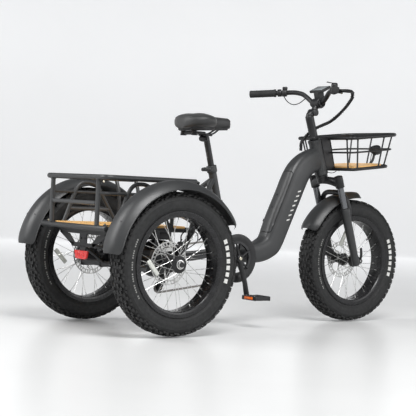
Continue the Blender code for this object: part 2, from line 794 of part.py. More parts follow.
def calipers():
    """Both rear calipers on the outer plates, and the front one behind the left fork leg."""
    ahead_up = Vector((0.68, 0, 0.73)).normalized()
    outline = [(0.032, 0.026), (0.058, 0.026), (0.066, 0.048), (0.044, 0.060)]
    inside = TRACK / 2 - ROTOR_OFFSET
    caliper("caliper_rear_left", REAR_AXLE, inside, -1, ahead_up, outline, (0.2501, 0.2740))
    caliper("caliper_rear_right", REAR_AXLE, -inside, 1, ahead_up, outline, (-0.2501, -0.2740))
    behind_up = (STEER_UP * 0.060 - STEER_AHEAD * 0.066).normalized()
    corners = ((0.036, -0.0528), (0.092, -0.0528), (0.084, -0.082), (0.046, -0.082))
    outline = []
    for along, behind in corners:
        point = STEER_UP * along + STEER_AHEAD * behind
        outline.append((point.x, point.z))
    caliper("caliper_front", FRONT_AXLE, 0.0490, 1, behind_up, outline, (0.0600, 0.0780), 0.0248, 0.0870)


# Fenders


def fender(name, centre, y, radius, start, end, half_width, crown, steps=16):
    """A curved sheet round a wheel, three millimetres thick and crowned across its width."""
    shape = ((-1.0, -1.0), (-0.72, -0.25), (0.0, 0.0), (0.72, -0.25), (1.0, -1.0))
    rings = []
    for k in range(steps + 1):
        angle = radians(start + (end - start) * k / steps)
        out = Vector((cos(angle), 0, sin(angle)))
        middle = centre + y * Y_AXIS
        outer = [middle + out * (radius + crown * h) + w * half_width * Y_AXIS for w, h in shape]
        inner = [
            middle + out * (radius + crown * h - 0.003) + w * (half_width - 0.0012) * Y_AXIS
            for w, h in reversed(shape)
        ]
        rings.append(outer + inner)
    return loft(rings)


def rear_fenders():
    for suffix, side in (("left", 1), ("right", -1)):
        sheet = fender(suffix, REAR_AXLE, side * TRACK / 2, 0.3300, 30, 172, 0.0630, 0.018, 13)
        top_lug = block((REAR_AXLE.x, side * 0.2562, 0.6045), (0.030, 0.0325, 0.014))
        rear_lug = block((-0.909, side * 0.2565, 0.4320), (0.022, 0.0322, 0.026))
        node(union([sheet, top_lug, rear_lug]), f"fender_rear_{suffix}", "frame_paint")


# Rear rack


def rear_rack():
    """Welded tube frame: floor frame, uprights, side hoops and a top rail that is open in front."""
    half = 0.172
    top_half = 0.228
    low = RACK_FLOOR_Z - 0.002
    rail = [
        (-0.4735, -top_half, RACK_TOP_Z),
        (RACK_REAR, -top_half, RACK_TOP_Z),
        (RACK_REAR, top_half, RACK_TOP_Z),
        (-0.4735, top_half, RACK_TOP_Z),
    ]
    pieces = [tube(rounded_path(rail, 0.035, 3), 0.0110, 8)]
    for x, reach in ((RACK_REAR, 0.240), (RACK_FRONT, 0.205)):
        pieces.append(rod((x, -reach, RACK_FLOOR_Z), (x, reach, RACK_FLOOR_Z), 0.0110, 8))
    for y in (-0.195, -0.068, 0.068, 0.195):
        pieces.append(rod((RACK_REAR, y, low), (RACK_FRONT, y, low), 0.0075, 6))
    pieces.append(rod((RACK_REAR, -half, 0.518), (RACK_REAR, half, 0.518), 0.0085, 8))
    for side in (-1, 1):
        pieces.append(
            rod((RACK_REAR, side * half, RACK_FLOOR_Z), (RACK_REAR, side * half, RACK_TOP_Z), 0.0095, 8)
        )
        for x in (-0.563, -0.461):
            post = [(x, side * 0.195, low), (x, side * 0.2000, 0.570), (x, side * top_half, RACK_TOP_Z)]
            pieces.append(tube(rounded_path(post, 0.03, 2), 0.0080, 6))
        side_rail = [
            (RACK_REAR, side * half, 0.557),
            (RACK_REAR + 0.02, side * 0.1990, 0.557),
            (-0.461, side * 0.1990, 0.557),
        ]
        pieces.append(tube(rounded_path(side_rail, 0.02, 2), 0.0062, 6))
        hoop = [
            (-0.8430, side * 0.195, low),
            (-0.7690, side * 0.2005, 0.6000),
            (-0.6850, side * 0.2005, 0.6000),
            (-0.5660, side * 0.195, low),
        ]
        pieces.append(tube(rounded_path(hoop, 0.030, 4), 0.0085, 6))
        pieces.append(rod((-0.815, side * 0.1972, 0.487), (-0.612, side * 0.1972, 0.487), 0.0075, 6))
        foot = Vector((REAR_AXLE.x + 0.004, side * 0.195, 0.3120))
        pieces.append(rod(foot, (foot.x, foot.y, low), 0.0085, 8))
        saddle = [
            foot + Vector((-0.020, 0, 0.002)),
            foot + Vector((0.020, 0, 0.002)),
            foot + Vector((0.014, 0, 0.024)),
            foot + Vector((-0.014, 0, 0.024)),
        ]
        pieces.append(plate(saddle, Y_AXIS, 0.030))
    return node(union(pieces), "rear_rack", "frame_paint")


def rack_bracket():
    """Pressed trapezoid plate with windows under the back of the rack, and its two arms."""
    x = -0.860
    outline = [
        (x, -0.180, 0.4040),
        (x, 0.180, 0.4040),
        (x, 0.180, 0.3880),
        (x, 0.075, 0.3360),
        (x, 0.026, 0.3340),
        (x, 0.022, 0.3200),
        (x, -0.022, 0.3200),
        (x, -0.026, 0.3340),
        (x, -0.075, 0.3360),
        (x, -0.180, 0.3880),
    ]
    sheet = plate(outline, (1, 0, 0), 0.005)
    holes = []
    for side in (-1, 1):
        window = [
            (x, side * 0.026, 0.382),
            (x, side * 0.110, 0.382),
            (x, side * 0.070, 0.352),
            (x, side * 0.026, 0.352),
        ]
        holes.append(plate(window, (1, 0, 0), 0.02))
    pieces = [cut(sheet, holes), block((x, 0, 0.4054), (0.034, 0.360, 0.0050))]
    for side in (-1, 1):
        arm = [(x, side * 0.084, 0.3420), (-0.800, side * 0.084, 0.3330), (-0.700, side * 0.084, 0.2640)]
        pieces.append(tube(rounded_path(arm, 0.03, 2), 0.0070, 6))
    return pieces


def tail_reflector():
    x = -0.8670
    outline = [
        (x, -0.050, 0.3225),
        (x, 0.050, 0.3225),
        (x, 0.040, 0.2880),
        (x, 0.030, 0.2840),
        (x, -0.030, 0.2840),
        (x, -0.040, 0.2880),
    ]
    lens = plate(outline, (1, 0, 0), 0.0080)
    return node(lens, "tail_reflector", "red_lens")


def rack_floor():
    """Wooden deck resting on the rack's floor tubes."""
    middle = Vector(((RACK_REAR + RACK_FRONT) / 2, 0, RACK_FLOOR_Z - 0.002 + 0.0079 + 0.00475))
    board = block(middle, (RACK_FRONT - RACK_REAR - 0.024, 0.330, 0.0095), 0.0, 0.001)
    return node(board, "rear_rack_floor", "wood")


def controller_box():
    box = block((-0.535, 0, 0.3910), (0.160, 0.110, 0.034), 0.0, 0.006)
    return node(box, "controller_box", "black_plastic")


# Saddle


SADDLE_CLAMP = seat_point(0.530) + Vector((-0.014, 0, 0.006))


def seat_post():
    """Round post with the clamp head that holds the saddle's rails."""
    post = rod(seat_point(0.20), seat_point(0.540), 0.0136, 20)
    head = rod(SADDLE_CLAMP - 0.024 * Y_AXIS, SADDLE_CLAMP + 0.024 * Y_AXIS, 0.0140, 12)
    return node(union([post, head]), "seat_post", "black_metal", seat_point(SEAT_TUBE_TOP))


def saddle_outline(scale_across, shrink):
    """Half widths of the saddle along its length, from the back to the nose."""
    back, nose = -0.392 + shrink, -0.127 - shrink
    widths = []
    steps = 10
    for k in range(steps + 1):
        t = k / steps
        x = back + (nose - back) * t
        lobe = 0.104 * (1 - ((t - 0.30) / 0.315) ** 2) ** 0.5 if abs(t - 0.30) < 0.305 else 0.0
        neck = 0.026 + 0.060 * max(0.0, 1 - ((t - 0.15) / 0.50) ** 2) if t > 0.25 else 0.0
        width = max(lobe, neck, 0.020)
        widths.append((x, (width - shrink) * scale_across))
    return widths


def saddle_pad():
    """Plain closed body of the padded saddle: wide behind and narrow at the nose."""
    rings = []
    for x, half in saddle_outline(1.0, 0.0):
        t = (x + 0.392) / 0.265
        top = 0.900 + 0.018 * sin(min(1.0, t * 1.5) * pi) - 0.004 * t
        low = 0.866 + 0.006 * t
        if t in (0.0, 1.0) or t > 0.999:
            half, top, low = half * 0.7, top - 0.012, low + 0.006
        section = [
            (-half * 0.8, low),
            (-half, (top + low) / 2),
            (-half * 0.75, top - 0.004),
            (0, top),
            (half * 0.75, top - 0.004),
            (half, (top + low) / 2),
            (half * 0.8, low),
        ]
        rings.append([Vector((x, y, z)) for y, z in section])
    return node(loft(rings), "saddle_pad", "saddle")


def saddle_base():
    """Shell under the pad with the two rails and the rear rubber springs."""
    rings = []
    for x, half in saddle_outline(0.72, 0.012)[1:]:
        rings.append(
            [
                Vector((x, -half, 0.8560)),
                Vector((x, -half * 1.04, 0.8655)),
                Vector((x, half * 1.04, 0.8655)),
                Vector((x, half, 0.8560)),
            ]
        )
    pieces = [loft(rings)]
    clamp = SADDLE_CLAMP
    for side in (-1, 1):
        rail = [
            (-0.352, side * 0.036, 0.860),
            (-0.348, side * 0.034, 0.834),
            (clamp.x - 0.012, side * 0.0190, clamp.z + 0.0185),
            (clamp.x + 0.030, side * 0.0190, clamp.z + 0.0190),
            (-0.190, side * 0.012, 0.862),
        ]
        pieces.append(tube(rounded_path(rail, 0.012, 2), 0.0036, 6))
        pieces.append(rod((-0.350, side * 0.040, 0.824), (-0.350, side * 0.040, 0.862), 0.0130, 12))
    pieces.append(rod((-0.350, -0.045, 0.831), (-0.350, 0.045, 0.831), 0.0060, 8))
    return node(union(pieces), "saddle_base", "black_plastic")


# Fork


def leg_point(side, distance, ahead=0.0):
    middle = FRONT_AXLE + STEER_UP * distance + STEER_AHEAD * (ahead - LEG_SETBACK)
    return middle + side * LEG_SPREAD * Y_AXIS


def fork_upper():
    """Steerer, crown, leg sockets and the two stanchions."""
    steerer = rod(STEER_BASE + STEER_UP * 0.425, STEER_BASE + STEER_UP * 0.668, 0.0140, 20)
    race = rod(STEER_BASE + STEER_UP * 0.405, STEER_BASE + STEER_UP * 0.4425, 0.0240, 18)
    pieces = [steerer, race]
    middle = STEER_BASE + STEER_UP * 0.4180 + STEER_AHEAD * 0.004
    for side in (-1, 1):
        arm = [middle, middle + side * 0.045 * Y_AXIS + STEER_AHEAD * 0.010, leg_point(side, 0.400)]
        pieces.append(tube(rounded_path(arm, 0.03, 2), 0.0165, 8))
        pieces.append(rod(leg_point(side, 0.374), leg_point(side, 0.429), 0.0205, 12))
        pieces.append(rod(leg_point(side, 0.150), leg_point(side, 0.390), 0.0150, 12))
    return node(union(pieces), "fork_upper", "black_metal", STEER_BASE + STEER_UP * 0.5)


def fork_lowers():
    """The two lower legs with their bridge, dropouts and the wheel's axle."""
    pieces = []
    for side in (-1, 1):
        pieces.append(rod(leg_point(side, -0.010), leg_point(side, 0.268), 0.0176, 12, 0.0212))
    arch = [
        leg_point(-1, 0.215, 0.012),
        leg_point(-1, 0.262, 0.026),
        leg_point(-1, 0.318, 0.025) + 0.006 * Y_AXIS,
        leg_point(-1, 0.3430, 0.023) + 0.040 * Y_AXIS,
    ]
    arch += [Vector((p.x, -p.y, p.z)) for p in reversed(arch)]
    pieces.append(tube(rounded_path(arch, 0.022, 2), 0.0085, 8))
    dropout = (
        (-0.013, 0.009),
        (0.004, 0.0155),
        (0.020, 0.006),
        (0.046, -0.024),
        (0.046, -0.034),
        (0.0, -0.034),
        (-0.012, -0.020),
    )
    for side in (-1, 1):
        outline = []
        for along, ahead in dropout:
            outline.append(FRONT_AXLE + STEER_UP * along + STEER_AHEAD * ahead + side * 0.0645 * Y_AXIS)
        pieces.append(plate(outline, Y_AXIS, 0.0130))
    body = union(pieces)
    bores = [rod(leg_point(side, 0.060), leg_point(side, 0.345), 0.0160, 12) for side in (-1, 1)]
    body = cut(body, bores)
    axle = rod(FRONT_AXLE - 0.0835 * Y_AXIS, FRONT_AXLE + 0.078 * Y_AXIS, 0.0048, 12)
    nut = rod(FRONT_AXLE + 0.0690 * Y_AXIS, FRONT_AXLE + 0.0800 * Y_AXIS, 0.0100, 12)
    return node(union([body, axle, nut]), "fork_lowers", "frame_paint", FRONT_AXLE)


FRONT_QR = FRONT_AXLE - 0.0800 * Y_AXIS


def front_axle_lever():
    """Cam lever of the front quick release, turned up beside the leg."""
    ring = [(0.0053, -0.0060), (0.0105, -0.0060), (0.0105, 0.0075), (0.0053, 0.0075)]
    cam = turned(ring, FRONT_QR + 0.001 * Y_AXIS, Y_AXIS, 14)
    start = FRONT_QR + Vector((0.0000, -0.001, 0.0080))
    arm = tube(
        [start, start + Vector((0.000, -0.004, 0.022)), start + Vector((-0.004, -0.005, 0.052))],
        0.0042,
        6,
    )
    return node(union([cam, arm]), "front_axle_lever", "black_metal", FRONT_QR)


def front_fender():
    sheet = fender("front", FRONT_AXLE, 0, 0.3250, 87, 152.5, 0.0600, 0.025, 10)
    mount = FRONT_AXLE - STEER_AHEAD * 0.010
    lug = rod(mount + STEER_UP * 0.3220, mount + STEER_UP * 0.3335, 0.0100, 8)
    return node(union([sheet, lug]), "front_fender", "frame_paint")


# Cockpit

STEM_HINGE = Vector((0.363, 0.0, 0.974))
BAR_CENTRE = Vector((0.389, 0.0, 1.018))
# Right half of the handlebar, from the middle to its end
BAR_PATH = (
    (0.3890, 0.000, 1.0180),
    (0.3890, 0.035, 1.0220),
    (0.3835, 0.065, 1.0450),
    (0.3735, 0.090, 1.0640),
    (0.3560, 0.125, 1.0705),
    (0.3385, 0.155, 1.0690),
    (0.2235, 0.292, 1.0560),
)


def bar_side(side):
    return [Vector((x, side * y, z)) for x, y, z in BAR_PATH]


def bar_end_axis(side):
    points = bar_side(side)
    return points[-1], (points[-1] - points[-2]).normalized()


def stem():
    """Adjustable stem: column over the steerer, hinge and the arm that clamps the bar."""
    base = STEER_BASE + STEER_UP * 0.6145
    column_top = STEER_BASE + STEER_UP * 0.728
    column = rod(base, column_top, 0.0200, 20)
    neck = rod(column_top - STEER_UP * 0.012 - STEER_AHEAD * 0.004, STEM_HINGE, 0.0165, 16)
    hinge = rod(STEM_HINGE - 0.026 * Y_AXIS, STEM_HINGE + 0.026 * Y_AXIS, 0.0165, 16)
    arm = rod(STEM_HINGE, BAR_CENTRE, 0.0150, 14)
    clamp = rod(BAR_CENTRE - 0.024 * Y_AXIS, BAR_CENTRE + 0.024 * Y_AXIS, 0.0235, 20)
    body = union([column, neck, hinge, arm, clamp])
    steerer_room = rod(base - STEER_UP * 0.02, STEER_BASE + STEER_UP * 0.680, 0.0144, 20)
    bar_room = rod(BAR_CENTRE - 0.05 * Y_AXIS, BAR_CENTRE + 0.05 * Y_AXIS, 0.0152, 20)
    return node(cut(body, [steerer_room, bar_room]), "stem", "black_metal")


def handlebar():
    right = [p for p in bar_side(-1)]
    left = [p for p in bar_side(1)]
    path = list(reversed(right)) + left[1:]
    bar = tube(rounded_path(path, 0.02, 2), 0.0111, 9)
    sleeve = rod(BAR_CENTRE - 0.026 * Y_AXIS, BAR_CENTRE + 0.026 * Y_AXIS, 0.0145, 20)
    return node(union([bar, sleeve]), "handlebar", "black_metal")


def sleeve_on_bar(side, start, end, outer, sides=16):
    """A closed sleeve round the straight end of the bar, measured back from the bar's end."""
    tip, out = bar_end_axis(side)
    profile = [(0.0120, -start), (outer, -start), (outer, -end), (0.0120, -end)]
    return turned(profile, tip, out, sides)


def grip(side):
    tip, out = bar_end_axis(side)
    profile = [
        (0, 0.0040),
        (0.0170, 0.0040),
        (0.0170, -GRIP_LENGTH),
        (0.0120, -GRIP_LENGTH),
        (0.0120, 0.0006),
        (0, 0.0006),
    ]
    name = "grip_left" if side > 0 else "grip_right"
    return node(turned(profile, tip, out, 16), name, "rubber")


def lever_frame(side):
    """Pivot of a brake lever, the way its blade runs and the way it is pulled from."""
    tip, out = bar_end_axis(side)
    ahead = Vector((0, 0, -0.08)) + out.cross(Z_AXIS) * side * -1.0
    if ahead.x < 0:
        ahead = Vector((-ahead.x, -ahead.y, ahead.z))
    ahead = (ahead - ahead.dot(out) * out).normalized()
    pivot = tip - out * (GRIP_LENGTH + 0.012) + ahead * 0.036
    return pivot, out, ahead


def brake_perch(side):
    """Clamp round the bar with the lever's bracket, and on the right the shifter pod."""
    tip, out = bar_end_axis(side)
    pivot, out, ahead = lever_frame(side)
    clamp = sleeve_on_bar(side, GRIP_LENGTH + 0.008, GRIP_LENGTH + 0.026, 0.0175)
    centre = tip - out * (GRIP_LENGTH + 0.017)
    across = ahead.cross(out).normalized()
    outline = [
        centre + ahead * 0.0145 - out * 0.010, centre + ahead * 0.0145 + out * 0.009,
        pivot + out * 0.010 + ahead * 0.006, pivot - out * 0.024 + ahead * 0.006]
    bracket = plate(outline, across, 0.020)
    slot = plate(
        [
            pivot + out * 0.020 - ahead * 0.011,
            pivot + out * 0.020 + ahead * 0.012,
            pivot - out * 0.011 + ahead * 0.012,
            pivot - out * 0.011 - ahead * 0.011,
        ],
        across,
        0.0100,
    )
    pin = rod(pivot - across * 0.0100, pivot + across * 0.0100, 0.0024, 8)
    barrel = rod(pivot - out * 0.020 + ahead * 0.000, pivot - out * 0.050 - ahead * 0.004, 0.0050, 8)
    pieces = [cut(union([clamp, bracket]), [slot]), pin, barrel]
    if side < 0:
        up = Vector((0, 0, 1))
        pod = centre - out * 0.022 + up * 0.024 + ahead * 0.004
        pieces.append(rod(pod - up * 0.010, pod + up * 0.006, 0.0150, 14))
        pieces.append(rod(centre - out * 0.004 + up * 0.0200, pod - up * 0.001, 0.0060, 8))
    name = "brake_perch_left" if side > 0 else "brake_perch_right"
    return node(union(pieces), name, "black_metal")


def brake_lever(side):
    """Two-finger blade with its pivot eye."""
    pivot, out, ahead = lever_frame(side)
    across = ahead.cross(out).normalized()
    eye = turned(
        [(0.0030, -0.0042), (0.0085, -0.0042), (0.0085, 0.0042), (0.0030, 0.0042)],
        pivot,
        across,
        12,
    )
    blade = tube(rounded_path([
        pivot + out * 0.0075, pivot + out * 0.030 + ahead * 0.013, pivot + out * 0.062 + ahead * 0.030,
        pivot + out * 0.092 + ahead * 0.044], 0.02, 2), 0.0058, 6, flat=0.62)
    name = "brake_lever_left" if side > 0 else "brake_lever_right"
    return node(union([eye, blade]), name, "black_metal", pivot)


def shift_lever():
    """Thumb paddle under the shifter pod."""
    tip, out = bar_end_axis(-1)
    pivot, _, ahead = lever_frame(-1)
    up = Vector((0, 0, 1))
    centre = tip - out * (GRIP_LENGTH + 0.017)
    pod = centre - out * 0.022 + up * 0.024 + ahead * 0.004
    hub = pod + up * 0.0064
    disc = rod(hub, hub + up * 0.0045, 0.0130, 14)
    paddle = tube(
        [hub + up * 0.0022, hub + up * 0.0040 - ahead * 0.034 + out * 0.004],
        0.0065,
        8,
        flat=0.32,
    )
    return node(union([disc, paddle]), "shift_lever", "black_plastic", hub)


def display():
    """Screen on the bar, tilted towards the rider, with its clamp foot."""
    centre = BAR_CENTRE + Vector((0.012, 0, 0.066))
    body = block(centre, (0.062, 0.088, 0.013), radians(26), 0.003)
    foot = block(BAR_CENTRE + Vector((0.006, 0, 0.0434)), (0.022, 0.030, 0.034), radians(14))
    return node(union([body, foot]), "display", "black_plastic")


# Front basket


BASKET_DEPTH = 0.1460
BASKET_BACK = Vector((0.485, 0.0, 0.717))
BASKET_LENGTH = 0.242
BASKET_HALF = 0.165


def basket_point(x, y, height):
    """A point of the basket in its own level frame, pitched about the middle of its back edge."""
    ahead = Vector((cos(BASKET_PITCH), 0, sin(BASKET_PITCH)))
    up = Vector((-sin(BASKET_PITCH), 0, cos(BASKET_PITCH)))
    return BASKET_BACK + ahead * x + up * height + y * Y_AXIS


def basket_wall(x, y, rise):
    """A point of the floor hoop carried up the leaning wall, from 0 at the floor to 1 at the rim."""
    stretch = (BASKET_LENGTH + 0.066 * rise) / BASKET_LENGTH
    widen = (BASKET_HALF + 0.025 * rise) / BASKET_HALF
    return basket_point(x * stretch - 0.018 * rise, y * widen, BASKET_DEPTH * rise)


def basket_loop(rise, radius, sides=6):
    """One closed hoop of the basket, a rectangle with a wide rounded front."""
    corners = [
        Vector((0, -BASKET_HALF)),
        Vector((BASKET_LENGTH, -BASKET_HALF)),
        Vector((BASKET_LENGTH, BASKET_HALF)),
        Vector((0, BASKET_HALF)),
    ]
    path = []
    for i, corner in enumerate(corners):
        in_front = corner.x > 0
        reach, steps = (0.070, 4) if in_front else (0.016, 2)
        start = corner + (corners[i - 1] - corner).normalized() * reach
        end = corner + (corners[(i + 1) % 4] - corner).normalized() * reach
        for k in range(steps + 1):
            t = k / steps
            point = (1 - t) ** 2 * start + 2 * t * (1 - t) * corner + t * t * end
            path.append(basket_wall(point.x, point.y, rise))
    return tube(path, radius, sides, closed=True)


def front_basket():
    """Wire basket with the block that bolts it to the head tube."""
    pieces = [basket_loop(0.0, 0.0075), basket_loop(0.54, 0.0042), basket_loop(1.0, 0.0085)]
    ribs = [(BASKET_LENGTH, 0.0), (0.0, 0.125), (0.0, -0.125)]
    for side in (-1, 1):
        ribs += [
            (0.020, side * BASKET_HALF),
            (0.155, side * BASKET_HALF),
            (BASKET_LENGTH - 0.003, side * 0.118),
        ]
    for x, y in ribs:
        pieces.append(rod(basket_wall(x, y, 0.0), basket_wall(x, y, 1.0), 0.0038, 6))
    for y in (-0.080, 0.080):
        pieces.append(rod(basket_point(0.0, y, 0.0), basket_point(BASKET_LENGTH, y, 0.0), 0.0040, 6))
    block_outline = [(0.3980, 0, 0.8560), (0.4560, 0, 0.8600), (0.4960, 0, 0.7160), (0.4420, 0, 0.7160)]
    pieces.append(plate(block_outline, Y_AXIS, 0.076))
    body = union(pieces)
    head_room = rod(STEER_BASE + STEER_UP * 0.40, STEER_BASE + STEER_UP * 0.66, 0.0304, 20)
    return node(cut(body, [head_room]), "front_basket", "black_metal")


def basket_floor():
    corners = [
        (0.014, -0.152),
        (0.185, -0.152),
        (0.229, -0.105),
        (0.229, 0.105),
        (0.185, 0.152),
        (0.014, 0.152),
    ]
    outline = [basket_point(x, y, 0.0085) for x, y in corners]
    up = (-sin(BASKET_PITCH), 0, cos(BASKET_PITCH))
    return node(plate(outline, up, 0.0080), "front_basket_floor", "wood")


def headlight():
    """Round lamp on a short bracket in front of the basket."""
    centre = basket_point(0.3040, 0.0, 0.072)
    ahead = Vector((1, 0, 0.02))
    lamp = turned(
        [(0, -0.026), (0.012, -0.026), (0.022, -0.004), (0.024, 0.016), (0.022, 0.020), (0, 0.020)],
        centre,
        ahead,
        18,
    )
    stalk_path = [
        centre + Vector((-0.004, 0, -0.010)),
        basket_point(0.2900, 0, 0.024),
        basket_point(0.2570, 0, 0.000),
    ]
    stalk = tube(rounded_path(stalk_path, 0.02, 2), 0.0055, 6)
    return node(union([lamp, stalk]), "headlight", "black_plastic")


# Cables


def cockpit_cables():
    """Sleeved bundle from the right-hand controls over the basket's rim to the head tube."""
    trunk = [
        Vector((0.4020, -0.1420, 1.0745)),
        Vector((0.4600, -0.1420, 1.0780)),
        Vector((0.4860, -0.1300, 1.0560)),
        Vector((0.4830, -0.1100, 1.0240)),
        Vector((0.4760, -0.0850, 0.9930)),
        Vector((0.4660, -0.0500, 0.9610)),
        Vector((0.4480, -0.0200, 0.9350)),
        Vector((0.4220, 0.0000, 0.9175)),
        Vector((0.3920, 0.0180, 0.8985)),
        Vector((0.3660, 0.0300, 0.8760)),
        Vector((0.3340, 0.0360, 0.8350)),
        Vector((0.3280, 0.0340, 0.7950)),
    ]
    return node(tube(rounded_path(trunk, 0.02, 1), 0.0058, 6), "cable_loom", "rubber")


def rear_brake_lines():
    """Hose up from the bottom bracket, split over the seat stays and led down them to both calipers."""
    fork_point = Vector((-0.262, 0, 0.602))
    lead = [Vector((-0.152, 0, 0.350)), Vector((-0.196, 0, 0.490)), fork_point]
    pieces = [tube(rounded_path(lead, 0.04, 3), 0.0034, 6)]
    for side in (-1, 1):
        fall = Vector((STAY_FALL.x, side * STAY_FALL.y, STAY_FALL.z)).normalized()
        outboard = (side * Y_AXIS - fall * fall.y * side).normalized()
        above = (Z_AXIS - fall * fall.z).normalized()
        path = [
            fork_point,
            stay_point(side, 0.050) + above * 0.0170,
            stay_point(side, 0.085) + (above + outboard).normalized() * 0.0165,
            stay_point(side, 0.120) + outboard * 0.0158,
            stay_point(side, 0.270) + outboard * 0.0158,
            Vector((-0.5060, side * 0.2460, 0.3960)),
            Vector((-0.5450, side * 0.2740, 0.4200)),
            Vector((-0.5720, side * 0.2800, 0.4050)),
            Vector((-0.5745, side * 0.2800, 0.3810)),
        ]
        pieces.append(tube(rounded_path(path, 0.015, 2), 0.0028, 6))
    return node(union(pieces), "rear_brake_lines", "rubber")


def shift_all():
    for obj in bpy.data.objects:
        obj.location.x += X0


def main():
    clear_scene()
    main_frame()
    battery_pack()
    rear_frame()
    seat_clamp_lever()
    axle_housing()
    motor()
    cassette()
    drive_case()
    cranks()
    pedal(CRANK_ANGLE, -1)
    pedal(CRANK_ANGLE + pi, 1)
    jockey("jockey_upper", UPPER_JOCKEY)
    jockey("jockey_lower", LOWER_JOCKEY)
    derailleur()
    pedal_chain()
    rear_wheel("left", 1)
    rear_wheel("right", -1)
    front_wheel()
    calipers()
    rear_fenders()
    front_fender()
    rear_rack()
    tail_reflector()
    rack_floor()
    controller_box()
    seat_post()
    saddle_pad()
    saddle_base()
    fork_upper()
    fork_lowers()
    front_axle_lever()
    stem()
    handlebar()
    for side in (-1, 1):
        grip(side)
        brake_perch(side)
        brake_lever(side)
    shift_lever()
    display()
    front_basket()
    basket_floor()
    headlight()
    cockpit_cables()
    rear_brake_lines()
    shift_all()


main()
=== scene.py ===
import json
from math import atan2, cos, exp, pi, radians, sin, sqrt

import bmesh
import bpy
from mathutils import Matrix, Vector

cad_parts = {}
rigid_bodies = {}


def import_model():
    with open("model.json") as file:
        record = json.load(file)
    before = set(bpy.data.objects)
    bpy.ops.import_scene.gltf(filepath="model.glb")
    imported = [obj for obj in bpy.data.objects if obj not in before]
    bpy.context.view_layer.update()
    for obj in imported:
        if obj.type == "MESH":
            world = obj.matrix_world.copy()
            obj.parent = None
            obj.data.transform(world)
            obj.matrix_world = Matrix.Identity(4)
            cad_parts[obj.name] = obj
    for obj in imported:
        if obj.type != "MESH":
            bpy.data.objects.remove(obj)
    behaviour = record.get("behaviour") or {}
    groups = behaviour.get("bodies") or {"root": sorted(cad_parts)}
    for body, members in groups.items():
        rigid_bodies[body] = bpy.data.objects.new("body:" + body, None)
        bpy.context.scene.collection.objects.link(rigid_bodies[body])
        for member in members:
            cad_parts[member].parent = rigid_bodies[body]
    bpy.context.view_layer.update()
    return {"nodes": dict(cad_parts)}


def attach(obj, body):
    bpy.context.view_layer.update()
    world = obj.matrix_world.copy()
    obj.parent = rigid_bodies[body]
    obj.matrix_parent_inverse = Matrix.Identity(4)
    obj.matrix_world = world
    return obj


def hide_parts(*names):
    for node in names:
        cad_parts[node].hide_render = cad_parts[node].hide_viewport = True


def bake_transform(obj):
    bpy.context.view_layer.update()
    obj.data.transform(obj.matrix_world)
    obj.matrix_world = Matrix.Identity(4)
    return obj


for start_object in list(bpy.data.objects):
    bpy.data.objects.remove(start_object, do_unlink=True)

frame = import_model()

X_AXIS = Vector((1, 0, 0))
Y_AXIS = Vector((0, 1, 0))
Z_AXIS = Vector((0, 0, 1))

# Everything is drawn about the middle of the wheelbase and moved by this much when it is built
SHIFT = Vector((0.0185, 0, 0))

WHEEL = 0.290
REAR_AXLE = Vector((-0.636, 0, WHEEL))
FRONT_AXLE = Vector((0.636, 0, WHEEL))
HALF_TRACK = 0.328
BOTTOM_BRACKET = Vector((-0.107, 0, 0.298))
MOTOR = Vector((-0.485, 0, 0.290))
CHAINLINE = -0.065
CRANK_ANGLE = radians(-76.5)
CRANK_LENGTH = 0.170
HEAD_ANGLE = radians(70.5)
STEER_UP = Vector((-cos(HEAD_ANGLE), 0, sin(HEAD_ANGLE)))
STEER_AHEAD = Vector((sin(HEAD_ANGLE), 0, cos(HEAD_ANGLE)))
STEER_BASE = FRONT_AXLE - 0.056 * STEER_AHEAD
SEAT_LEAN = radians(15.9)
SEAT_UP = Vector((-sin(SEAT_LEAN), 0, cos(SEAT_LEAN)))


def radial(angle):
    """The direction at this angle round a wheel."""
    return Vector((cos(angle), 0, sin(angle)))


def mirrored(half):
    """A lathe profile with its own reflection after it."""
    return half + [(r, -h) for r, h in reversed(half)]


# Materials


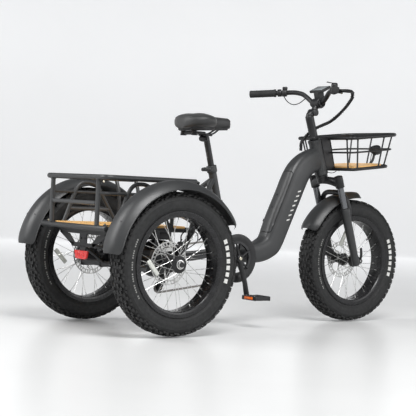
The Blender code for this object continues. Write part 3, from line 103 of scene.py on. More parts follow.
class Look:
    """A Principled material with helpers that wire procedural detail into it."""

    def __init__(self, name, colour, roughness, metallic=0.0):
        self.material = bpy.data.materials.new(name)
        self.material.use_nodes = True
        self.tree = self.material.node_tree
        self.shader = self.tree.nodes["Principled BSDF"]
        self.colour = colour
        self.shader.inputs["Base Color"].default_value = (*colour, 1)
        self.shader.inputs["Roughness"].default_value = roughness
        self.shader.inputs["Metallic"].default_value = metallic
        self.place = self.add("ShaderNodeTexCoord").outputs["Object"]

    def add(self, kind):
        return self.tree.nodes.new(kind)

    def link(self, source, target):
        self.tree.links.new(source, target)

    def stretched(self, scale):
        mapping = self.add("ShaderNodeMapping")
        mapping.inputs["Scale"].default_value = scale
        self.link(self.place, mapping.inputs["Vector"])
        return mapping.outputs["Vector"]

    def noise(self, scale, detail=4.0, where=None, roughness=0.55):
        made = self.add("ShaderNodeTexNoise")
        made.inputs["Scale"].default_value = scale
        made.inputs["Detail"].default_value = detail
        made.inputs["Roughness"].default_value = roughness
        self.link(where or self.place, made.inputs["Vector"])
        return made.outputs["Fac"]

    def cells(self, scale, where=None):
        made = self.add("ShaderNodeTexVoronoi")
        made.inputs["Scale"].default_value = scale
        self.link(where or self.place, made.inputs["Vector"])
        return made.outputs["Distance"]

    def ramp(self, source, stops):
        made = self.add("ShaderNodeValToRGB")
        made.color_ramp.elements[0].position = stops[0][0]
        made.color_ramp.elements[0].color = (*stops[0][1], 1)
        made.color_ramp.elements[1].position = stops[-1][0]
        made.color_ramp.elements[1].color = (*stops[-1][1], 1)
        for position, colour in stops[1:-1]:
            made.color_ramp.elements.new(position).color = (*colour, 1)
        self.link(source, made.inputs["Fac"])
        return made.outputs["Color"]

    def blend(self, amount, low, high):
        """Mixes two colours; a tuple is a fixed colour and anything else is a socket."""
        made = self.add("ShaderNodeMix")
        made.data_type = "RGBA"
        self.link(amount, made.inputs[0])
        for socket, value in ((made.inputs[6], low), (made.inputs[7], high)):
            if isinstance(value, tuple):
                socket.default_value = (*value, 1)
            else:
                self.link(value, socket)
        return made.outputs[2]

    def spread(self, source, low, high, start=0.3, end=0.7):
        made = self.add("ShaderNodeMapRange")
        made.inputs["From Min"].default_value = start
        made.inputs["From Max"].default_value = end
        made.inputs["To Min"].default_value = low
        made.inputs["To Max"].default_value = high
        self.link(source, made.inputs["Value"])
        return made.outputs["Result"]

    def tint(self, scale, amount, where=None, detail=5.0):
        """Soft lighter and darker patches of the base colour."""
        dark = tuple(c * (1 - amount) for c in self.colour)
        light = tuple(min(1.0, c * (1 + amount)) for c in self.colour)
        self.painted = self.ramp(self.noise(scale, detail, where), [(0.32, dark), (0.68, light)])
        self.link(self.painted, self.shader.inputs["Base Color"])
        return self

    def worn(self, colour, low=0.53, high=0.60):
        """Convex edges rub through to another colour."""
        edge = self.add("ShaderNodeNewGeometry").outputs["Pointiness"]
        amount = self.spread(edge, 0.0, 1.0, low, high)
        self.link(self.blend(amount, self.painted, colour), self.shader.inputs["Base Color"])
        return self

    def gloss(self, scale, low, high, where=None):
        self.link(
            self.spread(self.noise(scale, 3.0, where), low, high), self.shader.inputs["Roughness"]
        )
        return self

    def bump(self, source, strength, distance):
        made = self.add("ShaderNodeBump")
        made.inputs["Strength"].default_value = strength
        made.inputs["Distance"].default_value = distance
        self.link(source, made.inputs["Height"])
        last = getattr(self, "normal", None)
        if last is not None:
            self.link(last, made.inputs["Normal"])
        self.normal = made.outputs["Normal"]
        self.link(self.normal, self.shader.inputs["Normal"])
        return self

    def fixed(self, **values):
        for name, value in values.items():
            self.shader.inputs[name.replace("_", " ")].default_value = value
        return self


def make_paint():
    """Satin graphite powder coat: fine grain, slight orange peel."""
    look = Look("graphite_paint", (0.0215, 0.0225, 0.0235), 0.44)
    look.tint(9.0, 0.10).worn((0.060, 0.062, 0.064), 0.56, 0.68).gloss(14.0, 0.38, 0.50)
    look.bump(look.noise(900.0, 2.0), 0.10, 0.0006).bump(look.noise(160.0, 2.0), 0.05, 0.001)
    return look.fixed(Coat_Weight=0.10, Coat_Roughness=0.35).material


def make_black_metal():
    look = Look("black_metal", (0.0075, 0.0075, 0.0085), 0.38, 0.15)
    look.tint(26.0, 0.22).worn((0.045, 0.045, 0.048), 0.56, 0.70).gloss(40.0, 0.32, 0.46)
    look.bump(look.noise(700.0, 2.0), 0.08, 0.0005)
    return look.material


def make_rim():
    """Gloss black anodised alloy with faint turning marks."""
    look = Look("rim_black", (0.012, 0.012, 0.013), 0.28, 0.30)
    look.tint(30.0, 0.25).worn((0.05, 0.05, 0.055), 0.56, 0.72).gloss(30.0, 0.20, 0.32)
    look.bump(look.noise(60.0, 2.0, look.stretched((1, 26, 1))), 0.05, 0.0006)
    return look.material


def make_plastic():
    look = Look("moulded_plastic", (0.0085, 0.0085, 0.0095), 0.50)
    look.tint(30.0, 0.18).gloss(60.0, 0.42, 0.58)
    look.bump(look.cells(900.0), 0.16, 0.0006)
    return look.material


def make_rubber():
    look = Look("soft_rubber", (0.010, 0.010, 0.0105), 0.72)
    look.tint(50.0, 0.25).gloss(80.0, 0.66, 0.84)
    look.bump(look.noise(1200.0, 3.0), 0.25, 0.0006)
    return look.material


def make_tyre():
    """Matt tyre rubber, a little dusty where the tread faces out."""
    look = Look("tyre_rubber", (0.008, 0.008, 0.0085), 0.80)
    dust = look.spread(look.noise(22.0, 6.0), 0.0, 0.55, 0.48, 0.78)
    colour = look.blend(dust, (0.0075, 0.0078, 0.0082), (0.017, 0.017, 0.017))
    look.painted = colour
    look.link(colour, look.shader.inputs["Base Color"])
    look.worn((0.018, 0.018, 0.018), 0.56, 0.72).gloss(70.0, 0.58, 0.78)
    look.bump(look.noise(420.0, 5.0), 0.30, 0.0012)
    return look.material


def make_marking(name="pale_marking", colour=(0.60, 0.60, 0.58)):
    look = Look(name, colour, 0.60)
    look.tint(160.0, 0.16).gloss(90.0, 0.55, 0.70)
    look.bump(look.noise(700.0, 3.0), 0.2, 0.0005)
    return look.material


def make_steel(name="spoke_steel", colour=(0.66, 0.66, 0.65), low=0.22, high=0.36):
    look = Look(name, colour, 0.28, 1.0)
    look.tint(60.0, 0.12).gloss(120.0, low, high)
    look.bump(look.noise(500.0, 3.0, look.stretched((1, 8, 1))), 0.10, 0.0004)
    return look.material


def make_disc():
    """Brake disc with the circular brushing that pads leave."""
    look = Look("disc_steel", (0.56, 0.56, 0.55), 0.30, 1.0)
    look.tint(80.0, 0.18).gloss(200.0, 0.24, 0.42)
    look.bump(look.noise(1500.0, 3.0), 0.20, 0.0004)
    return look.material


def make_chain():
    look = Look("chain_steel", (0.22, 0.21, 0.20), 0.36, 0.9)
    look.tint(240.0, 0.35).gloss(300.0, 0.30, 0.55)
    look.bump(look.noise(900.0, 3.0), 0.2, 0.0005)
    return look.material


def make_stanchion():
    look = Look("grey_stanchion", (0.15, 0.155, 0.165), 0.24, 0.8)
    look.tint(40.0, 0.08).gloss(60.0, 0.16, 0.26, look.stretched((1, 1, 0.1)))
    look.bump(look.noise(900.0, 2.0, look.stretched((1, 1, 0.15))), 0.06, 0.0004)
    return look.material


def make_wood():
    """Oiled bamboo-like boards: long grain, paler streaks and the odd darker line."""
    look = Look("honey_wood", (0.70, 0.40, 0.16), 0.42)
    along = look.stretched((3.0, 42.0, 42.0))
    broad = look.noise(2.6, 6.0, along, 0.6)
    fine = look.noise(9.0, 8.0, along, 0.7)
    base = look.ramp(
        broad, [(0.25, (0.60, 0.30, 0.085)), (0.50, (0.80, 0.46, 0.155)), (0.78, (0.93, 0.62, 0.27))]
    )
    lines = look.spread(fine, 0.0, 0.55, 0.55, 0.70)
    colour = look.blend(lines, base, (0.46, 0.21, 0.060))
    look.link(colour, look.shader.inputs["Base Color"])
    look.gloss(20.0, 0.34, 0.52, along)
    look.bump(fine, 0.18, 0.0008)
    return look.fixed(Coat_Weight=0.25, Coat_Roughness=0.30).material


def make_vinyl():
    """Charcoal saddle cover with a pebbled grain."""
    look = Look("saddle_vinyl", (0.016, 0.0165, 0.017), 0.46)
    look.tint(18.0, 0.20).gloss(30.0, 0.42, 0.56)
    look.bump(look.cells(420.0), 0.45, 0.0008).bump(look.noise(60.0, 3.0), 0.10, 0.002)
    return look.fixed(Sheen_Weight=0.15, Sheen_Roughness=0.4).material


def make_thread():
    look = Look("saddle_thread", (0.030, 0.031, 0.032), 0.70)
    look.tint(300.0, 0.25)
    look.bump(look.noise(1600.0, 2.0), 0.4, 0.0004)
    return look.material


def make_lens(name, colour):
    """Prismatic reflector plastic."""
    look = Look(name, colour, 0.16)
    look.tint(120.0, 0.12).gloss(100.0, 0.10, 0.22)
    grid = look.stretched((1, 1, 1))
    look.bump(look.cells(260.0, grid), 0.55, 0.0015)
    return look.fixed(Coat_Weight=0.35, Coat_Roughness=0.12).material


def make_screen():
    look = Look("display_glass", (0.22, 0.24, 0.25), 0.12)
    look.tint(25.0, 0.10).gloss(20.0, 0.06, 0.14)
    return look.fixed(Coat_Weight=1.0, Coat_Roughness=0.03).material


def make_bolt():
    look = Look("zinc_bolt", (0.72, 0.68, 0.56), 0.30, 1.0)
    look.tint(200.0, 0.18).gloss(200.0, 0.22, 0.40)
    look.bump(look.noise(900.0, 2.0), 0.15, 0.0004)
    return look.material


PAINT = make_paint()
METAL = make_black_metal()
RIM = make_rim()
PLASTIC = make_plastic()
RUBBER = make_rubber()
TYRE = make_tyre()
MARKING = make_marking()
DULL_MARKING = make_marking("dull_marking", (0.24, 0.24, 0.23))
SPOKE = make_steel()
DISC = make_disc()
CHAIN = make_chain()
STANCHION = make_stanchion()
WOOD = make_wood()
VINYL = make_vinyl()
THREAD = make_thread()
RED = make_lens("red_lens", (0.60, 0.010, 0.008))
AMBER = make_lens("amber_lens", (0.90, 0.16, 0.010))
CLEAR = make_lens("white_lens", (0.56, 0.57, 0.53))
SCREEN = make_screen()
BOLT = make_bolt()


# Shapes


def across_of(direction):
    direction = direction.normalized()
    side = direction.cross(Z_AXIS)
    if side.length < 1e-3:
        side = direction.cross(Y_AXIS)
    side.normalize()
    return side, side.cross(direction)


def flowing(points, per=6, closed=False):
    """A smooth curve through the points."""
    points = [Vector(p) for p in points]
    count = len(points)
    path = []
    for i in range(count if closed else count - 1):
        a = points[i - 1] if closed or i else points[0]
        b = points[i]
        c = points[(i + 1) % count]
        d = points[(i + 2) % count] if closed or i + 2 < count else points[-1]
        for k in range(per):
            t = k / per
            path.append(
                0.5 * (
                    2 * b + (c - a) * t + (2 * a - 5 * b + 4 * c - d) * t * t
                    + (3 * b - a - 3 * c + d) * t**3
                )
            )
    if not closed:
        path.append(points[-1])
    return path


def rounded(points, bend, steps=6, closed=False):
    """The points with each corner replaced by a short curve."""
    points = [Vector(p) for p in points]
    path = []
    for i, corner in enumerate(points):
        if not closed and i in (0, len(points) - 1):
            path.append(corner)
            continue
        before, after = points[i - 1], points[(i + 1) % len(points)]
        start = corner + (before - corner).normalized() * min(bend, (before - corner).length * 0.45)
        end = corner + (after - corner).normalized() * min(bend, (after - corner).length * 0.45)
        for k in range(steps + 1):
            t = k / steps
            path.append((1 - t) ** 2 * start + 2 * t * (1 - t) * corner + t * t * end)
    return path


class Shape:
    """Gathers the faces of one piece, each with its material."""

    def __init__(self):
        self.points = []
        self.faces = []
        self.finish = []
        self.materials = []

    def add(self, points, faces, material):
        if material not in self.materials:
            self.materials.append(material)
        first = len(self.points)
        index = self.materials.index(material)
        self.points += [Vector(p) for p in points]
        self.faces += [[first + i for i in face] for face in faces]
        self.finish += [index] * len(faces)
        return self

    def loft(self, rings, material, closed=False, caps=True, open_ring=False):
        count = len(rings[0])
        points = [p for ring in rings for p in ring]
        faces = []
        for i in range(len(rings) if closed else len(rings) - 1):
            low, high = i * count, (i + 1) % len(rings) * count
            for j in range(count - 1 if open_ring else count):
                k = (j + 1) % count
                faces.append((low + j, low + k, high + k, high + j))
        if caps and not closed:
            faces.append(tuple(reversed(range(count))))
            faces.append(tuple(range((len(rings) - 1) * count, len(rings) * count)))
        return self.add(points, faces, material)

    def tube(self, path, radius, material, sides=12, closed=False, flat=1.0, round_end=0.0):
        path = [Vector(p) for p in path]
        count = len(path)
        radii = radius if isinstance(radius, list) else [radius] * count
        if round_end and not closed:
            path, radii = self.with_round_ends(path, radii, round_end)
            count = len(path)
        side = None
        rings = []
        for i, point in enumerate(path):
            before = path[i - 1] if closed or i else path[0]
            after = path[(i + 1) % count] if closed or i < count - 1 else path[-1]
            ahead = (after - before).normalized()
            if side is None:
                side, _ = across_of(ahead)
            side = (side - side.dot(ahead) * ahead).normalized()
            up = side.cross(ahead)
            ring = []
            for k in range(sides):
                angle = 2 * pi * (k + 0.5) / sides
                ring.append(point + radii[i] * (cos(angle) * side + flat * sin(angle) * up))
            rings.append(ring)
        return self.loft(rings, material, closed)

    def with_round_ends(self, path, radii, reach):
        head = (path[0] - path[1]).normalized()
        tail = (path[-1] - path[-2]).normalized()
        front = [path[0] + head * reach * s for s in (1.0, 0.92, 0.7, 0.38)]
        back = [path[-1] + tail * reach * s for s in (0.38, 0.7, 0.92, 1.0)]
        scale = [0.25, 0.55, 0.82, 0.96]
        return (
            front + path + back,
            [radii[0] * s for s in scale] + radii + [radii[-1] * s for s in reversed(scale)],
        )

    def rod(self, start, end, radius, material, sides=16, far=None, chamfer=0.0):
        start, end = Vector(start), Vector(end)
        far = radius if far is None else far
        length = (end - start).length
        profile = [(radius, 0.0), (far, length)]
        if chamfer:
            profile = [
                (radius - chamfer, 0.0), (radius, chamfer), (far, length - chamfer),
                (far - chamfer, length)
            ]
        return self.lathe(
            [(0, 0.0)] + profile + [(0, length)], start, end - start, material, sides, False
        )

    def lathe(self, profile, centre, axis, material, sides=48, closed=True, turn=0.0):
        """A profile of (radius, height) turned about an axis."""
        axis = axis.normalized()
        across, along = across_of(axis)
        points, rows, faces = [], [], []
        for radius, height in profile:
            middle = Vector(centre) + height * axis
            if radius < 1e-6:
                rows.append([len(points)] * sides)
                points.append(middle)
                continue
            rows.append(list(range(len(points), len(points) + sides)))
            for k in range(sides):
                angle = 2 * pi * k / sides + turn
                points.append(middle + radius * (cos(angle) * across + sin(angle) * along))
        for i in range(len(rows) if closed else len(rows) - 1):
            low, high = rows[i], rows[(i + 1) % len(rows)]
            if low[0] == low[1] and high[0] == high[1]:
                continue
            for j in range(sides):
                k = (j + 1) % sides
                face = []
                for corner in (low[j], low[k], high[k], high[j]):
                    if corner not in face:
                        face.append(corner)
                faces.append(face)
        return self.add(points, faces, material)

    def plate(self, outline, direction, thickness, material):
        shift = Vector(direction).normalized() * thickness / 2
        points = [Vector(p) for p in outline]
        return self.loft([[p - shift for p in points], [p + shift for p in points]], material)

    def block(self, centre, size, material, bevel=0.002, turn=None, segments=2):
        bm = bmesh.new()
        bmesh.ops.create_cube(bm, size=1.0)
        bmesh.ops.scale(bm, vec=size, verts=bm.verts)
        if bevel:
            bmesh.ops.bevel(
                bm, geom=bm.edges, offset=bevel, segments=segments, profile=0.5, affect="EDGES"
            )
        matrix = Matrix.Translation(Vector(centre)) @ (turn or Matrix.Identity(4))
        points = [matrix @ v.co for v in bm.verts]
        faces = [[v.index for v in f.verts] for f in bm.faces]
        bm.free()
        return self.add(points, faces, material)

    def bolt(self, centre, axis, radius, material=None, height=0.0025):
        """Domed socket-head bolt."""
        profile = [
            (0, height * 0.45), (radius * 0.45, height * 0.45), (radius * 0.5, height),
            (radius * 0.8, height)
        ]
        profile += [(radius, height * 0.55), (radius, -height), (0, -height)]
        return self.lathe(profile, centre, Vector(axis), material or BOLT, 12, False)

    def weld(self, centre, axis, radius, material, bead=0.0018):
        """Ring of weld beads where a tube meets another."""
        across, along = across_of(Vector(axis))
        count = max(10, int(radius * 900))
        path = []
        for k in range(count * 2):
            angle = 2 * pi * k / (count * 2)
            lift = 1 + (0.035 if k % 2 else -0.01)
            path.append(Vector(centre) + radius * lift * (cos(angle) * across + sin(angle) * along))
        return self.tube(path, bead, material, 6, closed=True)

    def build(self, name, body, replaces=(), slot=None, sharp=38, bevel=0.0, segments=2):
        mesh = bpy.data.meshes.new(name)
        mesh.from_pydata([p + SHIFT for p in self.points], [], self.faces)
        for material in self.materials:
            mesh.materials.append(material)
        for polygon, index in zip(mesh.polygons, self.finish):
            polygon.material_index = index
        bm = bmesh.new()
        bm.from_mesh(mesh)
        bmesh.ops.recalc_face_normals(bm, faces=bm.faces)
        bm.to_mesh(mesh)
        bm.free()
        mesh.shade_smooth()
        mesh.set_sharp_from_angle(angle=radians(sharp))
        obj = bpy.data.objects.new(name, mesh)
        bpy.context.scene.collection.objects.link(obj)
        if bevel:
            step = obj.modifiers.new("edges", "BEVEL")
            step.width = bevel
            step.segments = segments
            step.limit_method = "ANGLE"
            step.angle_limit = radians(40)
            step.harden_normals = False
        return seat(obj, body, replaces)


def seat(obj, body, replaces=()):
    if body is not None:
        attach(obj, body)
    if replaces:
        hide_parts(*([replaces] if isinstance(replaces, str) else replaces))
    return obj


def dress(node, material, bevel=0.0008):
    """A carried-over node: its own shape with softened edges and a proper finish."""
    obj = frame["nodes"][node]
    custom = obj.data.attributes.get("custom_normal")
    if custom is not None:
        obj.data.attributes.remove(custom)
    obj.data.materials.clear()
    obj.data.materials.append(material)
    obj.data.shade_smooth()
    weld = obj.modifiers.new("weld", "WELD")
    weld.merge_threshold = 0.00002
    if bevel:
        step = obj.modifiers.new("edges", "BEVEL")
        step.width = bevel
        step.segments = 2
        step.limit_method = "ANGLE"
        step.angle_limit = radians(38)
        step.harden_normals = True
    return obj


# Wheels


def tread_point(angle, across, lift):
    """A point on the tread: angle round the wheel, place across, height above the carcass."""
    lean = across / 0.0485
    radius = 0.2815 - 0.0125 * abs(lean) ** 2.6 + lift * cos(lean * 0.9)
    side = 0.0470 * sin(lean * 1.25) / sin(1.25) + lift * sin(lean * 0.9)
    return Vector((cos(angle) * radius, side, sin(angle) * radius))


def knob(shape, angle, width, middle, breadth, lift, slant=0.0):
    """One tapered tread block."""
    foot, top = [], []
    for a, b in ((-1, -1), (1, -1), (1, 1), (-1, 1)):
        turn = angle + a * width / 2 + b * slant
        foot.append(tread_point(turn, middle + b * breadth / 2, -0.0015))
        turn = angle + a * width * 0.40 + b * slant
        top.append(tread_point(turn, middle + b * breadth * 0.43, lift))
    shape.loft([foot, top], TYRE)


# Plain bars where a tyre's lettering is: first angle, how many, pitch and width in degrees, height,
# which one of each run is left out (0 for none), and the finish
SIDEWALL_BARS = (
    (-16, 7, 6.6, 4.3, 0.0150, 0, MARKING),
    (156, 27, 2.2, 1.3, 0.0060, 5, DULL_MARKING),
)
SIDEWALL_BAR_RADIUS = 0.2360


def add_sidewall_bars(shape, side):
    for first, count, pitch, width, tall, gap, finish in SIDEWALL_BARS:
        for k in range(count):
            if gap and k % gap == gap - 1:
                continue
            angle = radians(first) + k * radians(pitch)
            wide = radians(width)
            corners = []
            for a, b in ((-1, -1), (1, -1), (1, 1), (-1, 1)):
                radius = SIDEWALL_BAR_RADIUS + b * tall / 2
                out = 0.0488 - 0.173 * (0.2435 - radius)
                turn = angle + a * wide / 2
                corners.append(Vector((cos(turn) * radius, side * out, sin(turn) * radius)))
            shape.plate(corners, Y_AXIS, 0.0010, finish)


def make_tyre_mesh():
    shape = Shape()
    half = [
        (0.2055, 0.0355), (0.2110, 0.0372), (0.2150, 0.0388), (0.2168, 0.0402), (0.2185, 0.0404),
        (0.2240, 0.0436), (0.2255, 0.0449), (0.2275, 0.0449), (0.2330, 0.0470), (0.2420, 0.0482),
        (0.2500, 0.0482), (0.2560, 0.0476), (0.2578, 0.0483), (0.2592, 0.0474), (0.2640, 0.0462),
        (0.2700, 0.0432), (0.2740, 0.0380), (0.2780, 0.0290), (0.2805, 0.0170), (0.2815, 0.0060),
    ]
    profile = mirrored(half)
    profile += [(0.2030, -0.0330), (0.2030, 0.0330)]
    shape.lathe(profile, Vector((0, 0, 0)), Y_AXIS, TYRE, 112)
    rows = 64
    pitch = 2 * pi / rows
    for i in range(rows):
        angle = i * pitch
        offset = pitch / 2
        if i % 2:
            for side in (-1, 1):
                knob(shape, angle, pitch * 0.60, side * 0.0068, 0.0092, 0.0066, side * 0.004)
                knob(shape, angle + offset, pitch * 0.56, side * 0.0205, 0.0092, 0.0066, side * -0.005)
                knob(shape, angle, pitch * 0.66, side * 0.0330, 0.0096, 0.0062, side * 0.003)
                knob(shape, angle + offset * 0.9, pitch * 0.46, side * 0.0435, 0.0076, 0.0044)
        else:
            knob(shape, angle, pitch * 0.56, 0.0, 0.0092, 0.0066)
            for side in (-1, 1):
                knob(shape, angle, pitch * 0.58, side * 0.0138, 0.0088, 0.0066, side * 0.005)
                knob(
                    shape, angle + offset * 0.7, pitch * 0.60, side * 0.0268, 0.0090, 0.0064,
                    side * -0.003
                )
                knob(shape, angle, pitch * 0.50, side * 0.0392, 0.0082, 0.0054)
    for side in (-1, 1):
        add_sidewall_bars(shape, side)
    return shape


def make_rim_mesh():
    shape = Shape()
    half = [
        (0.2125, 0.0405), (0.2118, 0.0416), (0.2100, 0.0418), (0.2040, 0.0410), (0.2000, 0.0412),
        (0.1960, 0.0404), (0.1905, 0.0392), (0.1880, 0.0360), (0.1872, 0.0300), (0.1868, 0.0200),
        (0.1860, 0.0140), (0.1852, 0.0060),
    ]
    profile = mirrored(half)
    profile += [(0.2120, -0.0376), (0.1900, -0.0372), (0.1900, 0.0372), (0.2120, 0.0376)]
    shape.lathe(profile, Vector((0, 0, 0)), Y_AXIS, RIM, 112)
    for i in range(36):
        angle = 2 * pi * (i + 0.5) / 36
        out = radial(angle)
        side = (1 if i % 2 else -1) * 0.010
        shape.rod(
            out * 0.1868 + side * Y_AXIS, out * 0.1770 + side * 0.9 * Y_AXIS, 0.0025, SPOKE, 8, 0.0018
        )
    valve = Vector((cos(radians(40)), 0, sin(radians(40))))
    shape.rod(valve * 0.187, valve * 0.152, 0.0030, METAL, 10, 0.0026)
    shape.rod(valve * 0.156, valve * 0.149, 0.0036, METAL, 10, 0.0030, 0.0008)
    return shape


def add_spokes(shape, flange_radius, flange_half):
    for i in range(36):
        side = 1 if i % 2 else -1
        rim_angle = 2 * pi * (i + 0.5) / 36
        lean = 52 if i % 4 < 2 else -52
        hub_angle = rim_angle + radians(lean)
        start = Vector(
            (
                cos(hub_angle) * flange_radius,
                side * (flange_half + (0.0016 if lean > 0 else -0.0016)), sin(hub_angle) * flange_radius
            )
        )
        end = Vector((cos(rim_angle) * 0.1800, side * 0.0095, sin(rim_angle) * 0.1800))
        shape.rod(start, end, 0.00105, SPOKE, 6)
        shape.rod(start + side * 0.0016 * Y_AXIS, start - side * 0.0016 * Y_AXIS, 0.0022, SPOKE, 8)


def add_spoke_reflector(shape, angle, side):
    """Pale bar reflector clipped across the spokes."""
    middle = Vector((cos(angle) * 0.118, side * 0.0190, sin(angle) * 0.118))
    turn = Matrix.Rotation(-angle - radians(36), 4, "Y")
    shape.block(
        middle, (0.0190, 0.0065, 0.078), CLEAR, 0.0030,
        turn @ Matrix.Rotation(radians(4) * side, 4, "X"), 3
    )
    shape.block(middle - Vector((0, side * 0.0050, 0)), (0.0165, 0.0040, 0.072), CLEAR, 0.001, turn)


def add_rotor(shape, y):
    """Drilled brake disc: two rims joined by slanted bars, curved arms and bolts."""
    middle = Vector((0, y, 0))
    for low, high in ((0.0690, 0.0725), (0.0835, 0.0880)):
        profile = [(low, 0.0009), (high, 0.0009), (high, -0.0009), (low, -0.0009)]
        shape.lathe(profile, middle, Y_AXIS, DISC, 96)
    for i in range(36):
        angle = 2 * pi * i / 36
        slant = 0.055 if i % 3 else -0.035
        corners = []
        for reach, turn, wide in (
            (0.0715, 0.0, 0.0026), (0.0715, 0.0, -0.0026), (0.0845, slant, -0.0026),
            (0.0845, slant, 0.0026)
        ):
            direction = radial(angle + turn)
            sideways = Vector((-direction.z, 0, direction.x))
            corners.append(middle + direction * reach + sideways * wide)
        shape.plate(corners, Y_AXIS, 0.0018, DISC)
    for i in range(6):
        angle = 2 * pi * i / 6
        edges = ([], [])
        for k in range(9):
            t = k / 8
            turn = angle + 0.62 * t * t
            reach = 0.024 + 0.047 * t
            half_wide = (0.0052 - 0.0018 * sin(t * pi)) / reach
            for edge, spread in zip(edges, (-half_wide, half_wide)):
                edge.append(middle + reach * radial(turn + spread))
        shape.plate(edges[0] + edges[1][::-1], Y_AXIS, 0.0016, DISC)
        bolt = middle + 0.0222 * radial(angle + 0.2)
        shape.bolt(bolt, Y_AXIS if y > 0 else -Y_AXIS, 0.0032, METAL, 0.002)
    shape.lathe(
        [(0.0172, 0.0009), (0.0275, 0.0009), (0.0275, -0.0009), (0.0172, -0.0009)], middle, Y_AXIS,
        DISC, 36
    )


def moved(shape, offset, flip=False):
    """The same shape about another centre, mirrored across its own plane when asked."""
    made = Shape()
    made.points = [Vector((p.x, -p.y if flip else p.y, p.z)) + offset for p in shape.points]
    made.faces, made.finish, made.materials = shape.faces, shape.finish, shape.materials
    return made


def wheels():
    tyre = make_tyre_mesh()
    rim = make_rim_mesh()
    front_hub = Shape()
    half = [
        (0.0058, 0.0555), (0.0120, 0.0555), (0.0128, 0.0548), (0.0148, 0.0520), (0.0152, 0.0470),
        (0.0175, 0.0430)
    ]
    half += [
        (0.0255, 0.0352), (0.0300, 0.0340), (0.0308, 0.0330), (0.0308, 0.0295), (0.0295, 0.0282),
        (0.0200, 0.0262)
    ]
    half += [(0.0165, 0.0220), (0.0158, 0.0120)]
    front_hub.lathe(mirrored(half), Vector((0, 0, 0)), Y_AXIS, METAL, 40)
    add_spokes(front_hub, 0.0275, 0.0310)
    add_spoke_reflector(front_hub, radians(118), -1)
    front_rotor = Shape()
    add_rotor(front_rotor, 0.0490)
    moved(tyre, FRONT_AXLE).build("tyre_front_tread", "front_wheel", "tyre_front", "tyre", 30)
    moved(rim, FRONT_AXLE).build("rim_front_alloy", "front_wheel", "rim_front", "black_metal", 30)
    moved(front_hub, FRONT_AXLE).build("hub_front_laced", "front_wheel", "hub_front", "black_metal", 35)
    moved(front_rotor, FRONT_AXLE).build(
        "rotor_front_drilled", "front_wheel", "rotor_front", "steel", 35
    )
    rear_hub = Shape()
    profile = [
        (0, -0.2830), (
            0.0086, -0.2830
        ), (0.0090, -0.2822), (0.0090, -0.0400), (0.0225, -0.0385), (0.0250, -0.0376),
        (0.0340, -0.0325), (0.0348, -0.0315), (0.0348, -0.0270), (0.0335, -0.0258), (0.0250, -0.0235),
        (0.0228, -0.0190),
        (0.0220, 0.0), (
            0.0228, 0.0190
        ), (0.0250, 0.0235), (0.0335, 0.0258), (0.0348, 0.0270), (0.0348, 0.0315),
        (0.0330, 0.0324), (0.0215, 0.0350), (0.0190, 0.0372), (0.0180, 0.0396), (0.0140, 0.0412),
        (0.0112, 0.0424), (0.0110, 0.0500),
        (0.0100, 0.0520), (0, 0.0520),
    ]
    rear_hub.lathe(profile, Vector((0, 0, 0)), Y_AXIS, METAL, 40, False)
    rear_hub.lathe(
        [(0.0138, 0.0415), (0.0146, 0.0430), (0.0146, 0.0475), (0.0134, 0.0484), (0.0108, 0.0484)],
        Vector((0, 0, 0)), Y_AXIS, SPOKE, 6, False
    )
    rear_hub.lathe(
        [(0.0150, 0.0408), (0.0186, 0.0402), (0.0186, 0.0394)], Vector((0, 0, 0)), Y_AXIS, SPOKE, 32,
        False
    )
    add_spokes(rear_hub, 0.0315, 0.0290)
    add_spoke_reflector(rear_hub, radians(187), 1)
    rear_rotor = Shape()
    add_rotor(rear_rotor, -0.0390)
    for suffix, side in (("left", 1), ("right", -1)):
        centre = REAR_AXLE + side * HALF_TRACK * Y_AXIS
        body = f"rear_wheel_{suffix}"
        flip = side < 0
        moved(tyre, centre, flip).build(f"tyre_{suffix}_tread", body, f"tyre_rear_{suffix}", "tyre", 30)
        moved(rim, centre, flip).build(
            f"rim_{suffix}_alloy", body, f"rim_rear_{suffix}", "black_metal", 30
        )
        moved(rear_hub, centre, flip).build(
            f"hub_{suffix}_laced", body, f"hub_rear_{suffix}", "black_metal", 35
        )
        moved(rear_rotor, centre, flip).build(
            f"rotor_{suffix}_drilled", body, f"rotor_rear_{suffix}", "steel", 35
        )


wheels()


# Fenders


def fender(name, body, replaces, centre, radius, start, end, half_width, crown, rounding, bolts):
    """A crowned sheet round a wheel with rolled lips and rounded corners at both ends."""
    shape = Shape()
    steps, across = 64, 20
    reach = (end - start) * radius
    rows = []
    for i in range(steps + 1):
        t = i / steps
        angle = start + (end - start) * t
        near_end = min(t, 1 - t) * reach
        tuck = max(0.0, 1 - near_end / rounding) if rounding else 0.0
        width = half_width * (1 - 0.34 * (1 - sqrt(max(0.0, 1 - tuck * tuck))))
        out = radial(angle)
        row = []
        for j in range(across + 1):
            w = -1 + 2 * j / across
            sunk = crown * abs(w) ** 2.7
            row.append(centre + out * (radius - sunk) + w * width * Y_AXIS)
        rows.append(row)
    thick = 0.0026
    inner = []
    for i, row in enumerate(rows):
        angle = start + (end - start) * i / steps
        out = radial(angle)
        inner.append([p - out * thick - (p.y - centre.y) * 0.018 * Y_AXIS for p in row])
    rings = [row + list(reversed(under)) for row, under in zip(rows, inner)]
    shape.loft(rings, PAINT)
    for side in (-1, 1):
        lip = []
        for row in rows[1:-1]:
            lip.append(row[0 if side < 0 else -1].copy())
        shape.tube(lip, 0.0022, PAINT, 8, round_end=0.0015)
    for turn, w in bolts:
        angle = radians(turn)
        out = radial(angle)
        spot = centre + out * (radius - crown * abs(w) ** 2.7) + w * half_width * Y_AXIS
        lean = (out + Y_AXIS * w * 0.75).normalized()
        shape.bolt(spot, lean, 0.0036, METAL, 0.0016)
    return shape.build(name, body, replaces, "frame_paint", 40)


